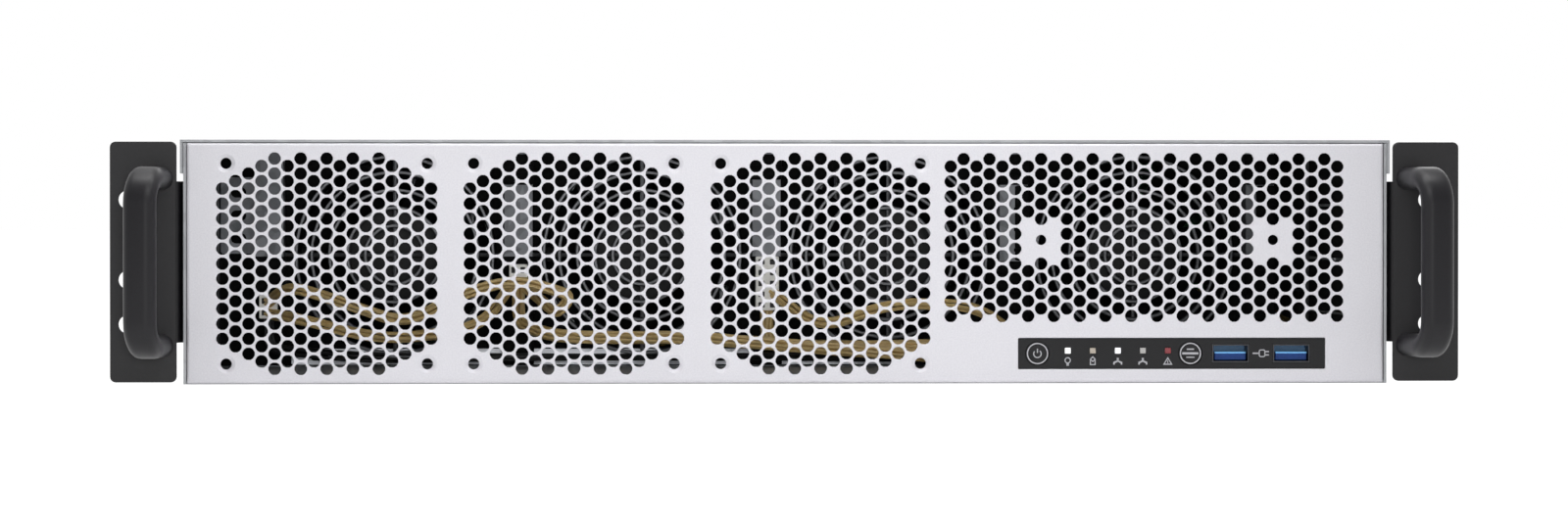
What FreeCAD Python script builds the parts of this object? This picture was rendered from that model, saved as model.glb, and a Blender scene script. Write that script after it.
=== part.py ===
"""Two-unit rack server: a sheet-metal case with a honeycomb front, rack ears with bow handles,
a control strip, a wall of four fans, a mainboard and two power modules that slide out at the rear.

Millimetres, +Z up, +X to the right seen from the front, the front faces -Y.
The origin is under the middle of the whole server, on the surface that it stands on.
"""

import FreeCAD, Part
import math
import os
from types import SimpleNamespace

import Sketcher
from FreeCAD import Placement, Rotation, Vector

SIZES = {
    # Case
    "chassis_depth": "550",
    "chassis_height": "87.2",
    "sheet": "1.0",
    "slide_gap": "0.2",
    "tray_lip": "8",
    "wall_setback": "0.4",
    "cover_lip": "12",
    "cover_setback": "0.6",
    "rear_lip": "9",
    "rail_hole_span": "300",
    "rail_hole_radius": "2.0",
    "thumbscrew_inset": "24",
    "thumbscrew_shank": "2.0",
    "thumbscrew_knob": "4.0",
    "thumbscrew_length": "7",
    "fit_gap": "0.05",
    # Front panel and its perforation
    "panel_width": "428",
    "panel_sheet": "1.2",
    "panel_lift": "0.3",
    "panel_flange": "12",
    "hex_pitch": "15.2",
    "hex_rib": "1.6",
    "vent_size": "79.5",
    "vent_corner": "20",
    "vent_pitch": "88.05",
    "vent_first": "-164.3",
    "vent_rise": "43",
    "vent_screw_span": "71.5",
    "vent_screw_radius": "2.1",
    "wide_vent_width": "144",
    "wide_vent_height": "62",
    "wide_vent_centre": "127.9",
    "wide_vent_rise": "52.3",
    "island_span": "81.3",
    "island_radius": "4.2",
    "island_hole_radius": "1.65",
    # Rack ears and handles
    "ear_reach": "26.1",
    "ear_sheet": "2.0",
    "ear_setback": "1.0",
    "ear_height": "85.8",
    "ear_neck": "57.5",
    "ear_relief": "2.5",
    "ear_corner": "2.0",
    "ear_leg": "60",
    "slot_edge": "8.75",
    "slot_length": "12",
    "slot_width": "6.8",
    "unit_height": "44.45",
    "middle_slot_drop": "6.35",
    "handle_foot": "224.7",
    "handle_reach": "34",
    "handle_height": "59.7",
    "handle_width": "11",
    "handle_thick": "8",
    "handle_chamfer": "2",
    "handle_bend": "6",
    "handle_splay": "5.5",
    # Control strip
    "strip_centre": "137.85",
    "strip_rise": "10.7",
    "strip_width": "110.5",
    "strip_height": "11.2",
    "strip_gap": "0.15",
    "strip_recess": "0.7",
    "strip_flange": "2",
    "strip_flange_sheet": "1.5",
    "strip_board_setback": "14",
    "strip_board_height": "16",
    "strip_post": "2.0",
    "board_sheet": "1.6",
    "button_radius": "4.05",
    "button_gap": "0.3",
    "button_collar": "0.9",
    "button_collar_sheet": "1.0",
    "button_travel": "0.8",
    "button_proud": "0.3",
    "button_stem": "2.0",
    "power_button_place": "-48.3",
    "reset_button_place": "6.7",
    "lens_radius": "1.1",
    "lens_pitch": "9.0",
    "lens_first": "-37.4",
    "lens_lift": "1.0",
    "usb_first": "21.2",
    "usb_pitch": "21.9",
    "usb_width": "13.2",
    "usb_height": "6.4",
    "usb_sheet": "0.4",
    "usb_tongue_width": "11.4",
    "usb_tongue_height": "2.8",
    "usb_tongue_setback": "1.2",
    "usb_root_depth": "4.4",
    "switch_size": "6",
    "switch_height": "4",
    # Fan wall
    "fan_board_gap": "35",
    "fan_size": "80",
    "fan_depth": "38",
    "fan_pitch": "97",
    "fan_rise": "44.5",
    "fan_bore": "38",
    "fan_corner": "4",
    "fan_strut": "6",
    "fan_face_gap": "2",
    "fan_hub": "19",
    "fan_tip_gap": "0.8",
    "fan_motor_sheet": "4",
    "fan_shaft": "2.0",
    "shaft_gap": "0.05",
    "guard_wire": "1.6",
    "guard_reach": "43",
    "post_width": "11",
    "post_depth": "14",
    "lead_notch_width": "12",
    "lead_notch_height": "30",
    # Mainboard and what it carries
    "board_width": "305",
    "board_depth": "267",
    "board_rear_gap": "4",
    "board_item_gap": "3.2",
    "standoff_height": "6.5",
    "standoff_radius": "3",
    "standoff_inset": "12",
    "socket_width": "58.8",
    "socket_depth": "70",
    "socket_height": "6",
    "cooler_depth": "100",
    "cooler_base": "5",
    "cooler_height": "62",
    "cooler_fin": "1.2",
    "cooler_rear_gap": "135",
    "chipset_place": "230",
    "chipset_rear_gap": "77.5",
    "chipset_width": "42",
    "chipset_base": "2.5",
    "chipset_height": "15.5",
    "memory_pitch": "9.4",
    "memory_length": "142",
    "memory_slot_width": "6.5",
    "memory_slot_height": "9",
    "memory_sheet": "1.3",
    "memory_height": "31",
    "memory_rear_gap": "114",
    "memory_seat": "4",
    "card_slot_first": "-180",
    "card_slot_pitch": "20.32",
    "card_socket_width": "7.5",
    "card_socket_length": "56",
    "card_socket_height": "11",
    "card_socket_rear_gap": "50",
    "card_blank_overlap": "2",
    "card_window_width": "13",
    "card_window_height": "60",
    "card_window_rise": "12",
    "port_window_width": "158.75",
    "port_window_height": "44.45",
    "port_window_left": "-64",
    "port_window_rise": "6.5",
    "port_gap": "0.25",
    "jack_first": "60",
    "jack_pitch": "18",
    "jack_width": "16",
    "jack_depth": "21",
    "jack_height": "13.5",
    "jack_mouth_width": "11.8",
    "jack_mouth_depth": "14",
    "jack_mouth_height": "8.2",
    "jack_mouth_rise": "2.6",
    "stack_place": "36",
    "stack_width": "15",
    "stack_depth": "20",
    "stack_height": "15.6",
    "deck_width": "12",
    "deck_height": "5.2",
    "deck_rise": "1.6",
    "deck_pitch": "7.2",
    "video_place": "134",
    "video_width": "31",
    "video_depth": "16",
    "video_height": "12.5",
    "video_shell_width": "17",
    "video_shell_height": "8.2",
    "video_shell_rise": "2.2",
    "video_shell_reach": "4",
    "video_shell_sheet": "0.7",
    "air_slot_width": "8",
    "air_slot_gap": "4",
    "air_slot_height": "15",
    "air_slot_lift": "5",
    # Power modules
    "module_width": "73.5",
    "module_height": "40",
    "module_depth": "185",
    "module_gap": "0.3",
    "cage_sheet": "0.8",
    "cage_reach": "10",
    "module_fan_radius": "17",
    "module_fan_depth": "14",
    "module_fan_place": "21",
    "module_fan_hub": "6.8",
    "module_shaft": "1.5",
    "module_shaft_depth": "4",
    "backplane_socket_inset": "12",
    "backplane_socket_rise": "6",
    "backplane_socket_height": "10",
    "inlet_width": "28",
    "inlet_height": "20.5",
    "inlet_depth": "16",
    "inlet_side_gap": "7",
    "inlet_rise": "4",
    "inlet_wall": "2",
    "inlet_floor": "3",
    "inlet_pin_width": "2",
    "inlet_pin_height": "4",
    "inlet_pin_length": "9",
    "inlet_pin_spread": "7",
    "module_handle_reach": "24",
    "module_handle_span": "20",
    "module_handle_bar": "4",
    "module_handle_width": "6",
    "module_handle_drop": "8",
    "latch_sheet": "2.2",
    "latch_height": "14",
    "latch_reach": "14",
    "latch_pin": "1.2",
    "latch_pin_reach": "2.5",
    "latch_pin_clearance": "0.5",
    "latch_side_gap": "4",
    "latch_rise": "10",
    "latch_pivot_gap": "5",
    "latch_tail": "9",
    "latch_swing": "2",
    # Internal leads
    "lead_radius": "2.3",
    "loom_radius": "3.0",
    "lead_bend": "20",
    "lead_stub": "14",
    "lead_connector_depth": "9",
    "power_socket_width": "10",
    "power_socket_height": "12",
}

ROUND_VENTS = 3
FANS = 4
FAN_BLADES = 7
MODULE_FAN_BLADES = 5
CARD_SLOTS = 6
LENSES = 5
USB_SOCKETS = 2
JACKS = 3
DECKS = 2
STOREYS = ("lower", "upper")
GUARD_RINGS = (16, 34)
COOLER_FINS = 15
CHIPSET_FINS = 8
SMALL_ROUND_SIDES = 8
RING_SIDES = 12
LEAD_SIDES = 5
BLADE_PITCHES = (50, 34)
BLADE_THICKNESS = 1 / 18

DOC = FreeCAD.newDocument("rack_server")
NODES = []


class Dim:
    """A size with its value in millimetres and the sheet expression that it comes from."""

    def __init__(self, value, text):
        self.value = value
        self.text = text

    def __float__(self):
        return self.value

    def __add__(self, other):
        return Dim(self.value + float(other), f"({self.text} + {text_of(other)})")

    def __radd__(self, other):
        return self + other

    def __sub__(self, other):
        return Dim(self.value - float(other), f"({self.text} - {text_of(other)})")

    def __rsub__(self, other):
        return Dim(float(other) - self.value, f"({text_of(other)} - {self.text})")

    def __mul__(self, other):
        return Dim(self.value * float(other), f"({self.text} * {text_of(other)})")

    def __rmul__(self, other):
        return self * other

    def __truediv__(self, other):
        return Dim(self.value / float(other), f"({self.text} / {text_of(other)})")

    def __neg__(self):
        return self * -1


def text_of(size):
    """Expression text of a size or of a plain number."""
    return size.text if isinstance(size, Dim) else repr(float(size))


def read_sizes():
    """Fills the sheet and returns one named size per row."""
    sheet = DOC.addObject("Spreadsheet::Sheet", "Sizes")
    for row, (alias, number) in enumerate(SIZES.items(), start=1):
        sheet.set(f"A{row}", alias.replace("_", " "))
        sheet.set(f"B{row}", number)
        sheet.setAlias(f"B{row}", alias)
    DOC.recompute()
    return SimpleNamespace(**{alias: Dim(float(sheet.get(alias)), f"Sizes.{alias}") for alias in SIZES})


S = read_sizes()

AXIS_TURNS = {
    "x": Rotation(Vector(0, 1, 0), 90),
    "y": Rotation(Vector(1, 0, 0), -90),
    "z": Rotation(),
}
PLANES = {"top": "XY_Plane", "front": "XZ_Plane", "side": "YZ_Plane"}


def node(obj, name):
    """Names a finished sub-part and keeps it for writing."""
    obj.Label = name
    NODES.append(obj)
    return obj


def bind(obj, prop, size):
    """Ties a property to the sheet."""
    obj.setExpression(prop, text_of(size))


def move(obj, corner):
    """Ties an object's place to the sheet."""
    for axis, size in zip("xyz", corner):
        bind(obj, f"Placement.Base.{axis}", size)


def block(name, low, lengths):
    """Box from its low corner and its lengths along X, Y and Z."""
    box = DOC.addObject("Part::Box", name)
    for prop, size in zip(("Length", "Width", "Height"), lengths):
        bind(box, prop, size)
    move(box, low)
    return box


def rod(name, start, radius, length, axis):
    """Cylinder from the middle of its first end, along one axis."""
    cylinder = DOC.addObject("Part::Cylinder", name)
    cylinder.Placement = Placement(Vector(), AXIS_TURNS[axis])
    bind(cylinder, "Radius", radius)
    bind(cylinder, "Height", length)
    move(cylinder, start)
    return cylinder


def prism(name, start, sides, radius, length, axis):
    """Bar of even-sided section from the middle of its first end, along one axis."""
    bar = DOC.addObject("Part::Prism", name)
    bar.Placement = Placement(Vector(), AXIS_TURNS[axis])
    bar.Polygon = sides
    bind(bar, "Circumradius", radius)
    bind(bar, "Height", length)
    move(bar, start)
    return bar


def bundle(name, pieces):
    """Several pieces kept as separate solids."""
    compound = DOC.addObject("Part::Compound", name)
    compound.Links = list(pieces)
    return compound


def copy(name, source, shift):
    """Second piece of the same form, moved by a shift."""
    piece = bundle(name, [source])
    move(piece, shift)
    return piece


def join(name, pieces):
    """One solid from pieces that overlap or meet."""
    fused = DOC.addObject("Part::MultiFuse", name)
    fused.Shapes = list(pieces)
    fused.Refine = True
    return fused


def cut(name, base, tools):
    """A piece less its holes and pockets."""
    result = DOC.addObject("Part::Cut", name)
    result.Base = base
    result.Tool = tools[0] if len(tools) == 1 else bundle(f"{name}_tools", tools)
    return result


def mirror(name, source):
    """The same piece on the other side of the server."""
    result = DOC.addObject("Part::Mirroring", name)
    result.Source = source
    result.Normal = Vector(1, 0, 0)
    return result


def origin_feature(body, role):
    """One of a body's own planes or axes."""
    return next(item for item in body.Origin.OriginFeatures if item.Role == role)


def new_body(name):
    """Empty body for sketches and features."""
    return DOC.addObject("PartDesign::Body", name)


def new_sketch(body, view, offset=0):
    """Sketch on a body's plane, set off along Z for top, Y for front and X for side."""
    sketch = body.newObject("Sketcher::SketchObject", f"{body.Name}_sketch")
    sketch.AttachmentSupport = [(origin_feature(body, PLANES[view]), "")]
    sketch.MapMode = "FlatFace"
    bind(sketch, "AttachmentOffset.Base.z", offset * -1 if view == "front" else offset)
    return sketch


def pin_point(sketch, geometry, point, place):
    """Ties a point of a sketch to the sheet."""
    for kind, size in zip(("DistanceX", "DistanceY"), place):
        index = sketch.addConstraint(Sketcher.Constraint(kind, -1, 1, geometry, point, float(size)))
        bind(sketch, f"Constraints[{index}]", size)


def pin_centre(sketch, geometry, place):
    """Ties the sideways place of an arc's centre to the sheet."""
    index = sketch.addConstraint(Sketcher.Constraint("DistanceX", -1, 1, geometry, 3, float(place)))
    bind(sketch, f"Constraints[{index}]", place)


def flat(place):
    """Plain point of a sketch."""
    return Vector(float(place[0]), float(place[1]), 0)


def stepped(corner, target, radius):
    """Point at a radius from a corner, along an upright or level line towards a target."""
    gap = flat(target) - flat(corner)
    if abs(gap.x) > abs(gap.y):
        return (corner[0] + math.copysign(1, gap.x) * radius, corner[1])
    return (corner[0], corner[1] + math.copysign(1, gap.y) * radius)


def add_arc(sketch, start, end, centre):
    """Quarter or half turn from start to end about a centre, with the ends in drawing order."""
    first, last, middle = flat(start), flat(end), flat(centre)
    turn = (first - middle).cross(last - middle).z
    low, high = (first, last) if turn > 0 else (last, first)
    angles = [math.atan2(point.y - middle.y, point.x - middle.x) for point in (low, high)]
    if angles[1] < angles[0]:
        angles[1] += 2 * math.pi
    circle = Part.Circle(middle, Vector(0, 0, 1), (first - middle).Length)
    index = sketch.addGeometry(Part.ArcOfCircle(circle, *angles))
    pin_centre(sketch, index, centre[0])
    return (index, 1, 2) if turn > 0 else (index, 2, 1)


def draw_path(sketch, corners, closed=True):
    """Lines through corners (across, up) or (across, up, radius), the rounded ones with arcs."""
    count = len(corners)
    runs = []
    for i, corner in enumerate(corners):
        radius = corner[2] if len(corner) == 3 else None
        here = corner[:2]
        before, after = corners[i - 1][:2], corners[(i + 1) % count][:2]
        entry = stepped(here, before, radius) if radius is not None else here
        leave = stepped(here, after, radius) if radius is not None else here
        centre = (entry[0] + leave[0] - here[0], entry[1] + leave[1] - here[1])
        runs.append((entry, leave, centre, radius is not None))
    total = count if closed else count - 1
    lines = []
    for i in range(total):
        start, end = runs[i][1], runs[(i + 1) % count][0]
        line = sketch.addGeometry(Part.LineSegment(flat(start), flat(end)))
        pin_point(sketch, line, 1, start)
        lines.append(line)
        if runs[(i + 1) % count][3] or (not closed and i == total - 1):
            pin_point(sketch, line, 2, end)
    for i in range(count if closed else count - 2):
        entry, leave, centre, rounded = runs[(i + 1) % count]
        before, after = lines[i], lines[(i + 1) % total]
        if rounded:
            arc, first, last = add_arc(sketch, entry, leave, centre)
            sketch.addConstraint(Sketcher.Constraint("Coincident", arc, first, before, 2))
            sketch.addConstraint(Sketcher.Constraint("Coincident", arc, last, after, 1))
        else:
            sketch.addConstraint(Sketcher.Constraint("Coincident", before, 2, after, 1))


def draw_box(sketch, low, high, radius=None):
    """Rectangle between two corners, rounded where a radius is given."""
    corners = [low, (high[0], low[1]), high, (low[0], high[1])]
    if radius is not None:
        corners = [(*corner, radius) for corner in corners]
    draw_path(sketch, corners)


def draw_chamfered(sketch, low, high, chamfer):
    """Rectangle between two corners with its corners cut off."""
    draw_path(sketch, [
        (low[0] + chamfer, low[1]), (high[0] - chamfer, low[1]), (high[0], low[1] + chamfer),
        (high[0], high[1] - chamfer), (high[0] - chamfer, high[1]), (low[0] + chamfer, high[1]),
        (low[0], high[1] - chamfer), (low[0], low[1] + chamfer),
    ])


def draw_polygon(sketch, centre, radius, sides):
    """Even-sided outline with one corner to the right."""
    turns = [2 * math.pi * k / sides for k in range(sides)]
    draw_path(sketch, [(centre[0] + radius * math.cos(turn), centre[1] + radius * math.sin(turn))
                       for turn in turns])


def draw_circle(sketch, centre, radius):
    """Circle tied to the sheet by its centre and radius."""
    index = sketch.addGeometry(Part.Circle(flat(centre), Vector(0, 0, 1), float(radius)))
    pin_point(sketch, index, 3, centre)
    size = sketch.addConstraint(Sketcher.Constraint("Radius", index, float(radius)))
    bind(sketch, f"Constraints[{size}]", radius)


def draw_slot(sketch, centre, length, width):
    """Level slot with round ends."""
    reach = (length - width) / 2
    left, right = centre[0] - reach, centre[0] + reach
    low, high = centre[1] - width / 2, centre[1] + width / 2
    bottom = sketch.addGeometry(Part.LineSegment(flat((left, low)), flat((right, low))))
    top = sketch.addGeometry(Part.LineSegment(flat((right, high)), flat((left, high))))
    pin_point(sketch, bottom, 1, (left, low))
    pin_point(sketch, bottom, 2, (right, low))
    pin_point(sketch, top, 1, (right, high))
    pin_point(sketch, top, 2, (left, high))
    for middle, start, end, start_angle in ((right, bottom, top, -0.5), (left, top, bottom, 0.5)):
        circle = Part.Circle(flat((middle, centre[1])), Vector(0, 0, 1), float(width / 2))
        arc = sketch.addGeometry(Part.ArcOfCircle(circle, start_angle * math.pi, (start_angle + 1) * math.pi))
        sketch.addConstraint(Sketcher.Constraint("Coincident", arc, 1, start, 2))
        sketch.addConstraint(Sketcher.Constraint("Coincident", arc, 2, end, 1))
        pin_centre(sketch, arc, middle)


def pad(body, sketch, length, rearward=False):
    """Solid raised from a sketch: up, to the right or, from a front view, forward or rearward."""
    feature = body.newObject("PartDesign::Pad", f"{body.Name}_pad")
    feature.Profile = sketch
    bind(feature, "Length", length)
    feature.Reversed = rearward
    return feature


def pocket(body, sketch, length):
    """Cut from a front view, rearward."""
    feature = body.newObject("PartDesign::Pocket", f"{body.Name}_pocket")
    feature.Profile = sketch
    bind(feature, "Length", length)
    return feature


def made(name, shape, along=0):
    """Sub-part whose form is worked out from the sizes by its own loop, then moved along Y."""
    feature = DOC.addObject("Part::Feature", name)
    feature.Shape = shape
    move(feature, (0, along, 0))
    return feature


# Places that several pieces share

ZERO = 0 * S.sheet
HALF_INSIDE = S.panel_width / 2 + S.slide_gap
HALF_OUTSIDE = HALF_INSIDE + S.sheet
WALL_TOP = S.chassis_height - S.sheet - S.slide_gap
MIDDLE = S.chassis_height / 2
LIP_UNDER = WALL_TOP - S.sheet

SPLAY_COS = math.cos(math.radians(S.handle_splay.value))
SPLAY_SIN = math.sin(math.radians(S.handle_splay.value))
HANDLE_NOSE = ((S.handle_reach + S.handle_thick / 2) * SPLAY_COS
               + (S.handle_width / 2 - S.handle_chamfer) * SPLAY_SIN)
NOSE = HANDLE_NOSE - S.ear_setback
TAIL = S.module_handle_reach + S.module_handle_bar / 2
FRONT = (NOSE - S.chassis_depth - TAIL) / 2
REAR = FRONT + S.chassis_depth
EAR_FACE = FRONT + S.ear_setback
PANEL_BACK = FRONT + S.panel_sheet
CAGE_WIDTH = S.module_width + 2 * S.module_gap + 2 * S.cage_sheet
CAGE_LEFT = HALF_INSIDE - CAGE_WIDTH
CAGE_DEPTH = S.module_depth + S.cage_reach
BOARD_TOP = S.sheet + S.standoff_height + S.board_sheet
BOARD_FRONT = REAR - S.board_rear_gap - S.board_depth
BOARD_LEFT = (CAGE_LEFT - HALF_INSIDE - S.board_width) / 2
FAN_WALL = BOARD_FRONT - S.fan_board_gap - S.fan_depth - S.sheet
THUMBSCREW_HOLE = S.thumbscrew_shank + S.fit_gap
FAN_CENTRES = [S.fan_pitch * (i - (FANS - 1) / 2) for i in range(FANS)]
THUMBSCREW_PLACES = [S.thumbscrew_inset - HALF_INSIDE, (CAGE_LEFT - HALF_INSIDE) / 2,
                     CAGE_LEFT - S.thumbscrew_inset]
THUMBSCREW_RISE = S.chassis_height - S.rear_lip / 2 - S.sheet
CARD_SLOT_CENTRES = [S.card_slot_first + S.card_slot_pitch * i for i in range(CARD_SLOTS)]


def add_tray():
    """Floor and side walls folded from one sheet, with a lip turned in along the top."""
    body = new_body("tray_body")
    sketch = new_sketch(body, "front", FRONT + S.wall_setback)
    half = [
        (HALF_OUTSIDE, ZERO),
        (HALF_OUTSIDE, WALL_TOP),
        (HALF_OUTSIDE - S.tray_lip, WALL_TOP),
        (HALF_OUTSIDE - S.tray_lip, LIP_UNDER),
        (HALF_INSIDE, LIP_UNDER),
        (HALF_INSIDE, S.sheet),
    ]
    draw_path(sketch, half + [(-across, up) for across, up in reversed(half)])
    pad(body, sketch, S.chassis_depth - S.wall_setback, rearward=True)
    mouth = block("tray_mouth", (-HALF_INSIDE, FRONT, -S.sheet),
                  (2 * HALF_INSIDE, S.panel_sheet + S.slide_gap, S.chassis_height))
    rail_middle = (FRONT + REAR) / 2
    holes = [rod(f"tray_rail_hole_{i}", (-HALF_OUTSIDE - S.sheet, rail_middle + S.rail_hole_span * side, MIDDLE),
                 S.rail_hole_radius, 2 * (HALF_OUTSIDE + S.sheet), "x") for i, side in enumerate((-0.5, 0.5))]
    node(cut("chassis_tray", body, [mouth] + holes), "chassis_tray")


def add_cover():
    """Lid with side lips outside the tray's walls and a rear lip for its thumbscrews."""
    half_lid = HALF_OUTSIDE + S.slide_gap + S.sheet
    body = new_body("cover_body")
    sketch = new_sketch(body, "front", FRONT + S.cover_setback)
    half = [
        (half_lid, S.chassis_height),
        (half_lid, S.chassis_height - S.cover_lip),
        (half_lid - S.sheet, S.chassis_height - S.cover_lip),
        (half_lid - S.sheet, S.chassis_height - S.sheet),
    ]
    draw_path(sketch, half + [(-across, up) for across, up in reversed(half)])
    pad(body, sketch, S.chassis_depth - S.cover_setback + S.slide_gap + S.sheet, rearward=True)
    lip = new_sketch(body, "front", REAR + S.slide_gap)
    draw_box(lip, (-HALF_INSIDE, S.chassis_height - S.rear_lip),
             (CAGE_LEFT - S.slide_gap, S.chassis_height - S.sheet))
    pad(body, lip, S.sheet, rearward=True)
    holes = [prism(f"cover_hole_{i}", (across, REAR, THUMBSCREW_RISE), SMALL_ROUND_SIDES, THUMBSCREW_HOLE,
                   3 * S.sheet, "y") for i, across in enumerate(THUMBSCREW_PLACES)]
    node(cut("top_cover", body, holes), "top_cover")
    screws = []
    for i, across in enumerate(THUMBSCREW_PLACES):
        face = REAR + S.slide_gap + S.sheet
        shank = prism(f"thumbscrew_shank_{i}", (across, REAR - 4 * S.sheet, THUMBSCREW_RISE), SMALL_ROUND_SIDES,
                      S.thumbscrew_shank, face - REAR + 5 * S.sheet, "y")
        knob = prism(f"thumbscrew_knob_{i}", (across, face, THUMBSCREW_RISE), SMALL_ROUND_SIDES,
                     S.thumbscrew_knob, S.thumbscrew_length, "y")
        screws.append(join(f"thumbscrew_{i}", [shank, knob]))
    node(bundle("cover_thumbscrews", screws), "cover_thumbscrews")


def even_hole(across, up, radius, sides):
    """Outline of one even-sided hole through an upright sheet, with a corner to the right."""
    turns = [-2 * math.pi * k / sides for k in range(sides + 1)]
    return Part.makePolygon([Vector(across + radius * math.cos(turn), 0, up + radius * math.sin(turn))
                             for turn in turns])


def honeycomb(centre, width, height, keeps_clear):
    """Hexagonal holes that fill a field and stay clear of given round or cornered places."""
    pitch = S.hex_pitch.value
    radius = (pitch - S.hex_rib.value) / math.sqrt(3)
    step = pitch * math.sqrt(3) / 2
    columns = int((width / 2 - radius) / step)
    holes = []
    for column in range(-columns, columns + 1):
        shift = pitch / 2 if column % 2 else 0
        rows = int((height / 2 - (pitch - S.hex_rib.value) / 2 + shift) / pitch)
        for row in range(-rows, rows + 1):
            across, up = column * step, row * pitch - shift
            inside = abs(up) + (pitch - S.hex_rib.value) / 2 <= height / 2 + S.hex_rib.value
            if inside and not keeps_clear(across, up):
                holes.append(even_hole(centre[0] + across, centre[1] + up, radius, 6))
    return holes


def box_hole(low, high):
    """Outline of one rectangular hole through an upright sheet."""
    points = [Vector(low[0], 0, low[1]), Vector(low[0], 0, high[1]), Vector(high[0], 0, high[1]),
              Vector(high[0], 0, low[1]), Vector(low[0], 0, low[1])]
    return Part.makePolygon(points)


def sheet_with_holes(low, high, thick, holes):
    """Upright sheet between two corners, with its front in the plane of its holes."""
    points = [Vector(low[0], 0, low[1]), Vector(high[0], 0, low[1]), Vector(high[0], 0, high[1]),
              Vector(low[0], 0, high[1]), Vector(low[0], 0, low[1])]
    face = Part.Face(Part.makePolygon(points))
    face.cutHoles(holes)
    return face.extrude(Vector(0, thick, 0))


def add_front_panel():
    """Perforated front with three fan vents, a wide vent and a window for the control strip."""
    holes = []
    corner_reach = S.vent_size.value - S.vent_corner.value
    screw = S.vent_screw_span.value / 2
    for i in range(ROUND_VENTS):
        across = S.vent_first.value + i * S.vent_pitch.value
        holes += honeycomb((across, S.vent_rise.value), S.vent_size.value, S.vent_size.value,
                           lambda x, z: abs(x) + abs(z) > corner_reach)
        holes += [even_hole(across + x, S.vent_rise.value + z, S.vent_screw_radius.value, SMALL_ROUND_SIDES)
                  for x in (-screw, screw) for z in (-screw, screw)]
    island = S.island_span.value / 2
    clear = S.island_radius.value + S.hex_pitch.value / 2
    wide = (S.wide_vent_centre.value, S.wide_vent_rise.value)
    holes += honeycomb(wide, S.wide_vent_width.value, S.wide_vent_height.value,
                       lambda x, z: math.hypot(abs(x) - island, z) < clear)
    holes += [even_hole(wide[0] + x, wide[1], S.island_hole_radius.value, SMALL_ROUND_SIDES)
              for x in (-island, island)]
    half_width, half_height = S.strip_width.value / 2, S.strip_height.value / 2
    strip = (S.strip_centre.value, S.strip_rise.value)
    holes.append(box_hole((strip[0] - half_width, strip[1] - half_height),
                          (strip[0] + half_width, strip[1] + half_height)))
    half, thick, depth = S.panel_width.value / 2, S.panel_sheet.value, S.panel_flange.value
    top = WALL_TOP.value
    plate = sheet_with_holes((-half, S.panel_lift.value), (half, top), thick, holes)
    reach = HALF_OUTSIDE.value - S.tray_lip.value - S.slide_gap.value
    low, high = S.sheet.value + S.slide_gap.value, LIP_UNDER.value - S.slide_gap.value
    flanges = [
        Part.makeBox(2 * reach, depth, thick, Vector(-reach, thick, top - thick)),
        Part.makeBox(thick, depth, high - low, Vector(-half, thick, low)),
        Part.makeBox(thick, depth, high - low, Vector(half - thick, thick, low)),
    ]
    node(made("front_panel", plate.multiFuse(flanges).removeSplitter(), FRONT), "front_panel")


def add_ears():
    """Folded rack ears with standard slots, and a leg that lies on the tray's wall."""
    relief = HALF_OUTSIDE + S.ear_relief
    edge = HALF_OUTSIDE + S.ear_reach
    low, high = MIDDLE - S.ear_height / 2, MIDDLE + S.ear_height / 2
    neck_low, neck_high = MIDDLE - S.ear_neck / 2, MIDDLE + S.ear_neck / 2
    body = new_body("ear_body")
    flange = new_sketch(body, "front", EAR_FACE)
    draw_path(flange, [
        (HALF_OUTSIDE, neck_low), (relief, neck_low), (relief, low, S.ear_corner), (edge, low, S.ear_corner),
        (edge, high, S.ear_corner), (relief, high, S.ear_corner), (relief, neck_high), (HALF_OUTSIDE, neck_high),
    ])
    pad(body, flange, S.ear_sheet, rearward=True)
    leg = new_sketch(body, "front", EAR_FACE)
    draw_box(leg, (HALF_OUTSIDE, neck_low), (HALF_OUTSIDE + S.ear_sheet, neck_high))
    pad(body, leg, S.ear_leg, rearward=True)
    slots = new_sketch(body, "front", EAR_FACE)
    for up in (S.unit_height / 2, -S.middle_slot_drop, -S.unit_height / 2):
        draw_slot(slots, (edge - S.slot_edge, MIDDLE + up), S.slot_length, S.slot_width)
    pocket(body, slots, S.ear_sheet)
    right = node(body, "rack_ear_right")
    node(mirror("rack_ear_left", right), "rack_ear_left")


def bow(name, reach, span, width, thick, chamfer, bend, root):
    """Bar with chamfered edges, bent into a bow; its feet lie at root along Y."""
    body = new_body(name)
    section = new_sketch(body, "front", root)
    draw_chamfered(section, (-width / 2, span / 2 - thick / 2), (width / 2, span / 2 + thick / 2), chamfer)
    line = new_sketch(body, "side")
    draw_path(line, [(root, span / 2), (-reach, span / 2, bend), (-reach, -span / 2, bend), (root, -span / 2)],
              closed=False)
    pipe = body.newObject("PartDesign::AdditivePipe", f"{name}_pipe")
    pipe.Profile = section
    pipe.Spine = line
    return body


def add_handles():
    """Bow handles on the ears, splayed outward a little, with flat feet."""
    root = S.handle_thick / 2
    body = bow("handle_bow", S.handle_reach, S.handle_height, S.handle_width, S.handle_thick,
               S.handle_chamfer, S.handle_bend, root)
    body.Placement = Placement(Vector(), Rotation(Vector(0, 0, 1), S.handle_splay.value))
    move(body, (S.handle_foot, EAR_FACE, MIDDLE))
    behind = block("handle_seat", (S.handle_foot - S.handle_width, EAR_FACE, MIDDLE - S.handle_height),
                   (2 * S.handle_width, 2 * S.handle_thick, 2 * S.handle_height))
    right = node(cut("handle_right", body, [behind]), "handle_right")
    node(mirror("handle_left", right), "handle_left")


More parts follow.
